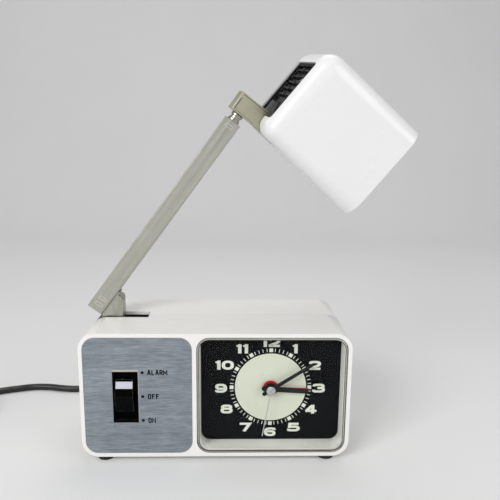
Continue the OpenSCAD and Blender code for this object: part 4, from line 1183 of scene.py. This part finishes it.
class OBJECT_OT_clock_lens(Operator):
    """Finish the clear lens"""

    bl_idname = "object.clock_lens"
    bl_label = "Lens"

    def execute(self, context):
        material, tree, surface = open_material("clear_lens")
        skin = place_group(tree, skin_group, Grain=300.0, Patch=40.0, Speck=330.0)
        rough = calc(tree, "MULTIPLY_ADD", skin["Specks"], 0.12, 0.012)
        feed(tree, surface, {"Base Color": (0.97, 0.985, 0.98, 1), "Roughness": rough})
        feed(tree, surface, {"Transmission Weight": 1.0, "IOR": 1.11})
        raise_surface(tree, surface, skin["Patches"], 0.000002, 0.3)
        path = add(tree, "ShaderNodeLightPath").outputs
        lets = calc(tree, "MAXIMUM", path["Is Shadow Ray"], path["Is Diffuse Ray"])
        clear = add(tree, "ShaderNodeBsdfTransparent", {"Color": (0.97, 0.98, 0.98, 1)}).outputs[0]
        both = add(tree, "ShaderNodeMixShader", {0: lets, 1: surface.outputs[0], 2: clear}).outputs[0]
        feed(tree, tree.nodes["Material Output"], {"Surface": both})
        dress("lens", material, 0.35, 3)
        s = context.scene.clock_dial
        rubber = moulded(
            "gasket_rubber", s.gasket_colour, srgb(64, 55, 44), roughness=0.6, dust=0.1, corners=0.0
        )
        bm = bmesh.new()

        def to_space(p, deep):
            y = LENS_Y + 0.15 if deep else LENS_Y - 0.03
            return at(DIAL_CENTRE[0] + p.x, y, DIAL_CENTRE[1] + p.y)

        for half_w, half_h, radius, half in GASKET_LINES:
            stroke(bm, round_box(half_w, half_h, radius, 10), half, to_space, True)
        piece("lens_gasket", bm, rubber, "case", None, smooth=0)
        return {"FINISHED"}


# Movement and knobs

WIRE_PITCH = 0.4 * MM


class OBJECT_OT_clock_movement(Operator):
    """Finish the movement: plates, wheels, arbors, motor and alarm contact"""

    bl_idname = "object.clock_movement"
    bl_label = "Movement"

    def execute(self, context):
        s = context.scene.clock_movement
        bright = srgb(236, 208, 140)
        dull = srgb(138, 108, 60)
        plate = brushed(
            "brass_plate", s.brass_colour, bright, dull, direction=(1, 0, 0), across=2200.0,
            along=60.0, roughness=0.3,
        )
        wheel = brushed(
            "brass_wheel", s.brass_colour, bright, dull, along=400.0, roughness=0.26, contrast=0.6
        )
        dress("movement_front_plate movement_rear_plate alarm_contact", plate, 0.12)
        wheels = "seconds_wheel minute_pipe hour_wheel alarm_wheel motion_wheel alarm_pinion"
        dress(wheels + " movement_pillars", wheel, 0.06)
        steel = brushed(
            "motor_steel", s.steel_colour, srgb(214, 216, 218), srgb(112, 108, 100),
            across=2600.0, along=60.0, roughness=0.32,
        )
        dress("motor_can", steel, 0.4, 3)
        dress("motor_rotor", steel, 0.1)

        copper, tree, surface = open_material("coil_copper")
        along = add(tree, "ShaderNodeSeparateXYZ", {0: object_place(tree)}).outputs["Y"]
        turns = calc(tree, "SINE", calc(tree, "MULTIPLY", along, 2 * math.pi / WIRE_PITCH))
        skin = place_group(tree, skin_group, Grain=2000.0, Patch=120.0)
        # Painted shade: darker stripes between the wire turns stand for the shade in the grooves.
        shown = tint(tree, ramp(tree, turns, -1, 1), srgb(96, 46, 22), s.copper_colour)
        shown = cover(tree, shown, skin["Patches"], 0.4, srgb(206, 132, 76))
        rough = calc(tree, "MULTIPLY_ADD", skin["Patches"], 0.15, 0.25)
        feed(tree, surface, {"Base Color": shown, "Roughness": rough, "Metallic": 1.0})
        raise_surface(tree, surface, turns, 0.00008)
        dress("motor_coil", copper, 0.3)
        return {"FINISHED"}


class OBJECT_OT_clock_knobs(Operator):
    """Finish the two setting knobs at the back"""

    bl_idname = "object.clock_knobs"
    bl_label = "Setting Knobs"

    def execute(self, context):
        # Both knobs get painted shade in their corners, the cream one towards a dark brown.
        cream = moulded(
            "knob_cream", context.scene.clock_movement.knob_colour, srgb(212, 204, 182),
            roughness=0.36, dust=0.3, corners=0.6, corner_shade_colour=srgb(110, 98, 78),
        )
        dress("time_knob", cream, 0.18)
        red = moulded(
            "knob_red", context.scene.clock_dial.alarm_colour, srgb(178, 30, 32),
            roughness=0.36, dust=0.3, corners=0.6,
        )
        dress("alarm_knob", red, 0.18)
        return {"FINISHED"}


# Arm

ARM_MIDDLE_Y = 1.5
ARM_HALF_DEPTH = 5.0
STAMPS_ALONG = (4.8, 171.0, 176.5)
STAMP_BOX = (3.1, 1.15, 1.1)
BRACKET_HALF = 7.1
SEAMS = (
    ((-6.4, 20.2), (17.6, 20.2), 0.22),
    ((-6.4, 7.7), (12.0, 7.7), 0.12),
    ((-6.3, 8.2), (-6.3, 17.4), 0.3),
)


def nickel(context, name, direction, **look):
    """Nickel plate, brushed along a direction."""
    s = context.scene.clock_arm
    return brushed(name, s.nickel_colour, s.shine_colour, s.tarnish_colour, direction, **look)


def turned_nickel(context):
    """Nickel plate on turned pins and screws, made once for all of them."""
    name = "nickel_turned"
    look = {"across": 3400.0, "along": 300.0, "roughness": 0.2}
    return bpy.data.materials.get(name) or nickel(context, name, (0, 1, 0), **look)


class OBJECT_OT_clock_hinge(Operator):
    """Finish the fold-down hinge: carrier, pin, washers, bracket, bolt and nut"""

    bl_idname = "object.clock_hinge"
    bl_label = "Arm Hinge"

    def execute(self, context):
        s = context.scene.clock_arm
        edge = s.edge_radius / MM
        sheet = nickel(
            context, "nickel_bracket", (0.45, 0, 0.89), across=2200.0, along=90.0, roughness=0.24,
            contrast=0.4,
        )
        dress("base_bracket hinge_carrier", sheet, edge)
        steel = turned_nickel(context)
        dress("carrier_screws", steel, 0.15)
        dress("hinge_pin bracket_nut", steel, 0.2)
        fibre = moulded(
            "washer_fibre", srgb(112, 84, 56), srgb(84, 62, 42), roughness=0.8, grain=3800.0,
            depth=0.00008, dust=0.2,
        )
        dress("friction_washers", fibre, 0.1)
        return {"FINISHED"}


class OBJECT_OT_clock_arm(Operator):
    """Finish the arm tube with its stamped marks, end plugs and cable"""

    bl_idname = "object.clock_arm"
    bl_label = "Arm Tube"

    def execute(self, context):
        s = context.scene.clock_arm
        sheet = nickel(
            context, "nickel_arm", ARM_ALONG, across=2400.0, along=26.0, roughness=0.4,
            contrast=0.45, tarnish=0.12, metallic=0.7,
        )
        dress("arm_tube arm_plugs", sheet, s.edge_radius / MM)
        bm = bmesh.new()
        for along in STAMPS_ALONG:
            for side in (1, -1):
                face = ARM_MIDDLE_Y - side * ARM_HALF_DEPTH

                def to_space(p, deep, along=along, side=side, face=face):
                    return on_arm(along + p.y, p.x, face + side * (0.1 if deep else -0.14))

                stroke(bm, round_box(*STAMP_BOX, 6), 0.25, to_space, True)
        # The stamped rims get a lighter nickel than the arm: a painted highlight on the stamps.
        stamp_highlight = brushed(
            "stamp_highlight_nickel", srgb(204, 202, 190), srgb(228, 227, 216), s.shine_colour,
            direction=ARM_ACROSS, across=2600.0, along=400.0, metallic=0.5,
        )
        round_edges(piece("arm_stamps", bm, stamp_highlight, "arm", None), 0.08)
        cable = moulded(
            "cable_plastic", srgb(226, 224, 216), srgb(210, 204, 190), roughness=0.45, dust=0.1
        )
        dress("lamp_cable", cable, 0)
        return {"FINISHED"}


class OBJECT_OT_clock_head_joint(Operator):
    """Finish the swivel and tilt joint between arm and shade"""

    bl_idname = "object.clock_head_joint"
    bl_label = "Head Joint"

    def execute(self, context):
        s = context.scene.clock_arm
        sheet = brushed(
            "nickel_head", s.bracket_colour, s.shine_colour, s.tarnish_colour,
            direction=BRACKET_X, across=2200.0, along=70.0, roughness=0.26, contrast=0.4,
        )
        dress("head_bracket", sheet, s.edge_radius / MM)
        seam = moulded(
            "seam_dirt", srgb(58, 54, 42), srgb(84, 78, 60), roughness=0.6, dust=0.0, corners=0.0
        )
        bm = bmesh.new()
        for low, high, half in SEAMS:
            for side in (1, -1):

                def to_space(p, deep, side=side):
                    return on_bracket(p.x, side * (BRACKET_HALF if deep else BRACKET_HALF + 0.13), p.y)

                stroke(bm, [Vector(low), Vector(high)], half, to_space)
        piece("bracket_seams", bm, seam, "bracket", None, smooth=0)
        dress("swivel_pin swivel_washers swivel_nut tilt_pin", turned_nickel(context), 0.25, 3)
        return {"FINISHED"}


# Head

SHADE_MIDDLE = 32.5
SHADE_END = -14
SHADE_HALF_WIDTH = 30
SHADE_HALF_HEIGHT = 39
SHADE_LENGTH = 81.5
SHADE_FLARE = 2.3
SHADE_WALL = 2.2
SIDE_CORNER = 11
UPPER_CORNER = 14
LOWER_CORNER = 9
END_REACH = 15
LINER_SKINS = (1.3, 2.7)
LAMP_Z = 33
RIBS_FROM = 27.1
RIB_PITCH = 5.6
RIB_HEIGHT = 1.2
RIBS_BACK = -10.0
GLOBE_AT = 24.0
GLOBE_RADIUS = 20


def shade_ring(x, upper, lower, steps):
    """A section across the shade: its halves each have a half width, a half height and two radii."""
    arcs = []
    for k, (i, j) in enumerate(QUARTERS):
        half_y, half_z, round_y, round_z = upper if j > 0 else lower
        y, z = i * (half_y - round_y), SHADE_MIDDLE + j * (half_z - round_z)
        angles = [math.radians(90 * (k + n / steps)) for n in range(steps + 1)]
        arcs.append([(y + round_y * math.cos(a), z + round_z * math.sin(a)) for a in angles])
    ring = []
    for k, arc in enumerate(arcs):
        (y0, z0), (y1, z1) = arc[-1], arcs[(k + 1) % 4][0]
        ring += arc + [(y0 + (y1 - y0) * n / 6, z0 + (z1 - z0) * n / 6) for n in range(1, 6)]
    return [in_head(x, y, z) for y, z in ring]


def shade_rings(inset, steps):
    """Rings of one skin of the shade, from its closed end to its mouth."""
    ry, half_y, half_z = SIDE_CORNER - inset, SHADE_HALF_WIDTH - inset, SHADE_HALF_HEIGHT - inset

    def end_half(x, reach, depth):
        """Half of the section at x past the closed end, where the corners turn in."""
        lean = max(math.sqrt(1 - (1 - min(x / reach, 1)) ** 2), 0.004)
        return (half_y - ry + ry * lean, half_z - depth + depth * lean, ry * lean, depth * lean)

    rings = []
    for n in range(15):
        x = (END_REACH - inset) * (1 - math.cos(math.radians(90 * n / 14)))
        upper = end_half(x, END_REACH - inset, UPPER_CORNER - inset)
        lower = end_half(x, LOWER_CORNER - inset, LOWER_CORNER - inset)
        rings.append(shade_ring(x + SHADE_END + inset, upper, lower, steps))
    for n in range(1, 9):
        t = n / 8
        wide, tall = half_y + SHADE_FLARE * t, half_z + SHADE_FLARE * t
        upper = (wide, tall, ry, UPPER_CORNER - inset)
        lower = (wide, tall, ry, LOWER_CORNER + 5 * t - inset)
        rings.append(shade_ring(1 + SHADE_LENGTH * t, upper, lower, steps))
    return rings


def two_skins(outer, inner, steps):
    """A wall between two skins of the shade."""
    bm = bmesh.new()
    loft(bm, shade_rings(outer, steps) + shade_rings(inner, steps)[::-1])
    return bm


def prism(bm, outline, x0, x1):
    """A flat outline of y and z in the head's axes, drawn out from x0 to x1."""
    loft(bm, [[in_head(x, p[0], p[1]) for p in outline] for x in (x0, x1)])


def carve(context, made, prisms, operation="DIFFERENCE"):
    """Cuts prisms out of a piece, or keeps only what lies inside them."""
    bm = bmesh.new()
    for outline, x0, x1 in prisms:
        prism(bm, outline, x0, x1)
    tool = link("carving_tool", close_mesh("carving_tool", bm))
    cut = made.modifiers.new("Opening", "BOOLEAN")
    cut.object = tool
    cut.operation = operation
    cut.solver = "EXACT"
    cut.use_self = True
    context.view_layer.update()
    graph = context.evaluated_depsgraph_get()
    mesh = bpy.data.meshes.new_from_object(made.evaluated_get(graph))
    made.modifiers.clear()
    made.data = mesh
    bpy.data.objects.remove(tool)
    mesh.shade_smooth()
    mesh.set_sharp_from_angle(angle=math.radians(35))


def band(half_y, low, high, reach=0.0):
    """A flat box of the head's y and z round its middle plane, with corners that a reach rounds."""
    corners = ((-half_y, low), (half_y, low), (half_y, high), (-half_y, high))
    return soft_corner([c + (reach,) for c in corners], True) if reach else corners


class OBJECT_OT_clock_shade(Operator):
    """Mould the shade with its rounded end, its rim and the opening for the joint"""

    bl_idname = "object.clock_shade"
    bl_label = "Shade"

    def execute(self, context):
        s = context.scene.clock_head
        # The shade's corners get light painted shade, towards a warm grey.
        paint = moulded(
            "shade_enamel", s.paint_colour, srgb(235, 234, 235), roughness=0.24, grain=420.0,
            depth=0.00002, patch=14.0, dust=0.06, corners=0.2, corner_shade_colour=srgb(170, 164, 152),
            coat=0.35,
        )
        bm = two_skins(0.0, SHADE_WALL, s.ring_points)
        shade = piece("enamel_shade", bm, paint, "head", "shade", smooth=35.0)
        opening = (band(22, 5.2, 56, 2.6), -17, 1.2)
        slot = (band(8, -12, 8), -17, 1.2)
        slot_below = (band(8, -12, 2.5), -16, 8.7)
        carve(context, shade, [opening, slot, slot_below])
        round_edges(shade, 0.25)
        # The liner's edges are lightened to grey: a painted highlight.
        liner_black = moulded(
            "liner_plastic", srgb(14, 14, 17), srgb(24, 24, 28), roughness=0.34, grain=1500.0,
            dust=0.03, specks=0.2, corners=0.0, edge=0.6, edge_colour=srgb(110, 110, 116), shine=0.05,
        )
        bm = two_skins(*LINER_SKINS, s.ring_points)
        liner = piece("opening_liner", bm, liner_black, "head", None)
        carve(context, liner, [(band(21.9, 5.4, 55.8, 2.6), -17, 4)], "INTERSECT")
        carve(context, liner, [(band(16.6, 1, 53.2), -17, 6)])
        round_edges(liner, 0.15)
        return {"FINISHED"}


def lamp_form(profile, x, turns=56, end=True):
    """A form turned round the lamp's axis, which starts at x in the head's axes."""
    bm = bmesh.new()
    turned(bm, profile, in_head(x, 0, LAMP_Z), HEAD_X, HEAD_Y, turns, end)
    return bm


def threads(first, pitch, profile):
    """Five turns of a screw thread, each with these pairs of distance along the axis and radius."""
    return [(first + pitch * i + along, radius) for i in range(5) for along, radius in profile]


class OBJECT_OT_clock_lamp(Operator):
    """Build the lampholder and bulb, and finish the black carrier behind them"""

    bl_idname = "object.clock_lamp"
    bl_label = "Lampholder and Bulb"

    def execute(self, context):
        s = context.scene.clock_head
        # The grille's edges are lightened to grey glints: a painted highlight.
        black = moulded(
            "grille_plastic", s.grille_colour, srgb(26, 26, 27), roughness=0.26, grain=1500.0,
            depth=0.00002, dust=0.05, specks=0.4, corners=0.0, edge=0.9, shine=0.12,
            edge_colour=srgb(140, 140, 142),
        )
        dress("socket_carrier", black, 0.35)
        bm = bmesh.new()
        for i in range(6):
            z = RIBS_FROM + RIB_PITCH * i
            wide = 13.4 - 1.1 * (i % 2)
            prism(bm, band(wide, z, z + RIB_HEIGHT), -11.8, RIBS_BACK)
            prism(bm, band(1.0, z - 1.0, z + RIB_HEIGHT + 1.0), -12.6, RIBS_BACK)
        ribs = piece("grille_ribs", bm, black, "head", None)
        round_edges(ribs, 0.25)
        dress("shade_screws", turned_nickel(context), 0.2)

        bakelite = moulded(
            "holder_bakelite", srgb(30, 28, 27), srgb(44, 40, 37), roughness=0.32, grain=1200.0,
            dust=0.2, coat=0.2,
        )
        profile = [(0.0, 12.4), (0.6, 13.0), (4.5, 13.0), (5.0, 12.2)]
        profile += threads(6.0, 2.8, [(0, 11.9), (0.7, 12.7), (1.4, 12.9), (2.1, 12.7)])
        profile += [
            (20.4, 11.9), (21.0, 12.9), (29.4, 12.9), (30.0, 12.4), (30.0, 10.6), (22.0, 10.4),
            (22.0, 7.7), (6.0, 7.6), (6.0, 0.0),
        ]
        bm = lamp_form(profile, -8.4)
        piece("threaded_holder", bm, bakelite, "head", "lampholder")
        cap = brushed(
            "bulb_cap_metal", srgb(196, 190, 170), srgb(236, 232, 214), srgb(140, 124, 90),
            direction=HEAD_X, across=2600.0, along=700.0, roughness=0.25,
        )
        profile = [(-2.4, 0.0), (-2.4, 2.2), (-1.6, 3.0), (-0.4, 3.2), (0.0, 5.2), (0.8, 6.2)]
        profile += threads(1.4, 2.7, [(0, 6.2), (0.7, 6.8), (1.35, 7.0), (2.0, 6.8)])
        profile += [(15.2, 6.2), (16.0, 6.9), (17.0, 6.9), (17.0, 0.0)]
        bm = lamp_form(profile, 2.6, turns=48)
        piece("threaded_cap", bm, cap, "head", "bulb_cap")
        glass = moulded(
            "opal_glass", s.glass_colour, srgb(236, 234, 226), roughness=0.18, grain=400.0,
            depth=0.000006, dust=0.1, corners=0.0, coat=0.4,
        )
        profile = [(-0.6, 0.0), (-0.6, 6.4), (0.6, 6.7), (2.0, 7.1), (4.0, 8.0), (6.4, 9.7), (8.8, 11.9)]
        for i in range(29):
            a = math.radians(138 - i * 138 / 28)
            profile.append((GLOBE_AT + GLOBE_RADIUS * math.cos(a), GLOBE_RADIUS * math.sin(a)))
        bm = lamp_form(profile, 19.6, end=False)
        piece("opal_bulb", bm, glass, "head", "bulb_glass", smooth=60.0)
        return {"FINISHED"}


# Panel of the add-on

STEPS = (
    OBJECT_OT_clock_stage,
    OBJECT_OT_clock_lead,
    OBJECT_OT_clock_case,
    OBJECT_OT_clock_panel,
    OBJECT_OT_clock_switch,
    OBJECT_OT_clock_dial,
    OBJECT_OT_clock_hands,
    OBJECT_OT_clock_lens,
    OBJECT_OT_clock_movement,
    OBJECT_OT_clock_knobs,
    OBJECT_OT_clock_hinge,
    OBJECT_OT_clock_arm,
    OBJECT_OT_clock_head_joint,
    OBJECT_OT_clock_shade,
    OBJECT_OT_clock_lamp,
)


class VIEW3D_PT_clock(Panel):
    """Buttons and settings of the light alarm clock"""

    bl_label = "Light Alarm Clock"
    bl_space_type = "VIEW_3D"
    bl_region_type = "UI"
    bl_category = "Alarm Clock"

    def draw(self, context):
        layout = self.layout
        for step in STEPS:
            layout.operator(step.bl_idname)
        for name, group in SETTINGS.items():
            box = layout.box()
            box.label(text=group.__doc__.rstrip("."))
            for key in group.__annotations__:
                box.prop(getattr(context.scene, name), key)


def register():
    """Adds the settings, operators and panel to Blender."""
    for name, group in SETTINGS.items():
        bpy.utils.register_class(group)
        setattr(bpy.types.Scene, name, PointerProperty(type=group))
    for kind in (*STEPS, VIEW3D_PT_clock):
        bpy.utils.register_class(kind)


def unregister():
    """Takes them out again."""
    for kind in (VIEW3D_PT_clock, *reversed(STEPS)):
        bpy.utils.unregister_class(kind)
    for name, group in SETTINGS.items():
        delattr(bpy.types.Scene, name)
        bpy.utils.unregister_class(group)


def main():
    """Builds the whole clock."""
    register()
    for step in STEPS:
        area, name = step.bl_idname.split(".")
        getattr(getattr(bpy.ops, area), name)()


if __name__ == "__main__":
    main()
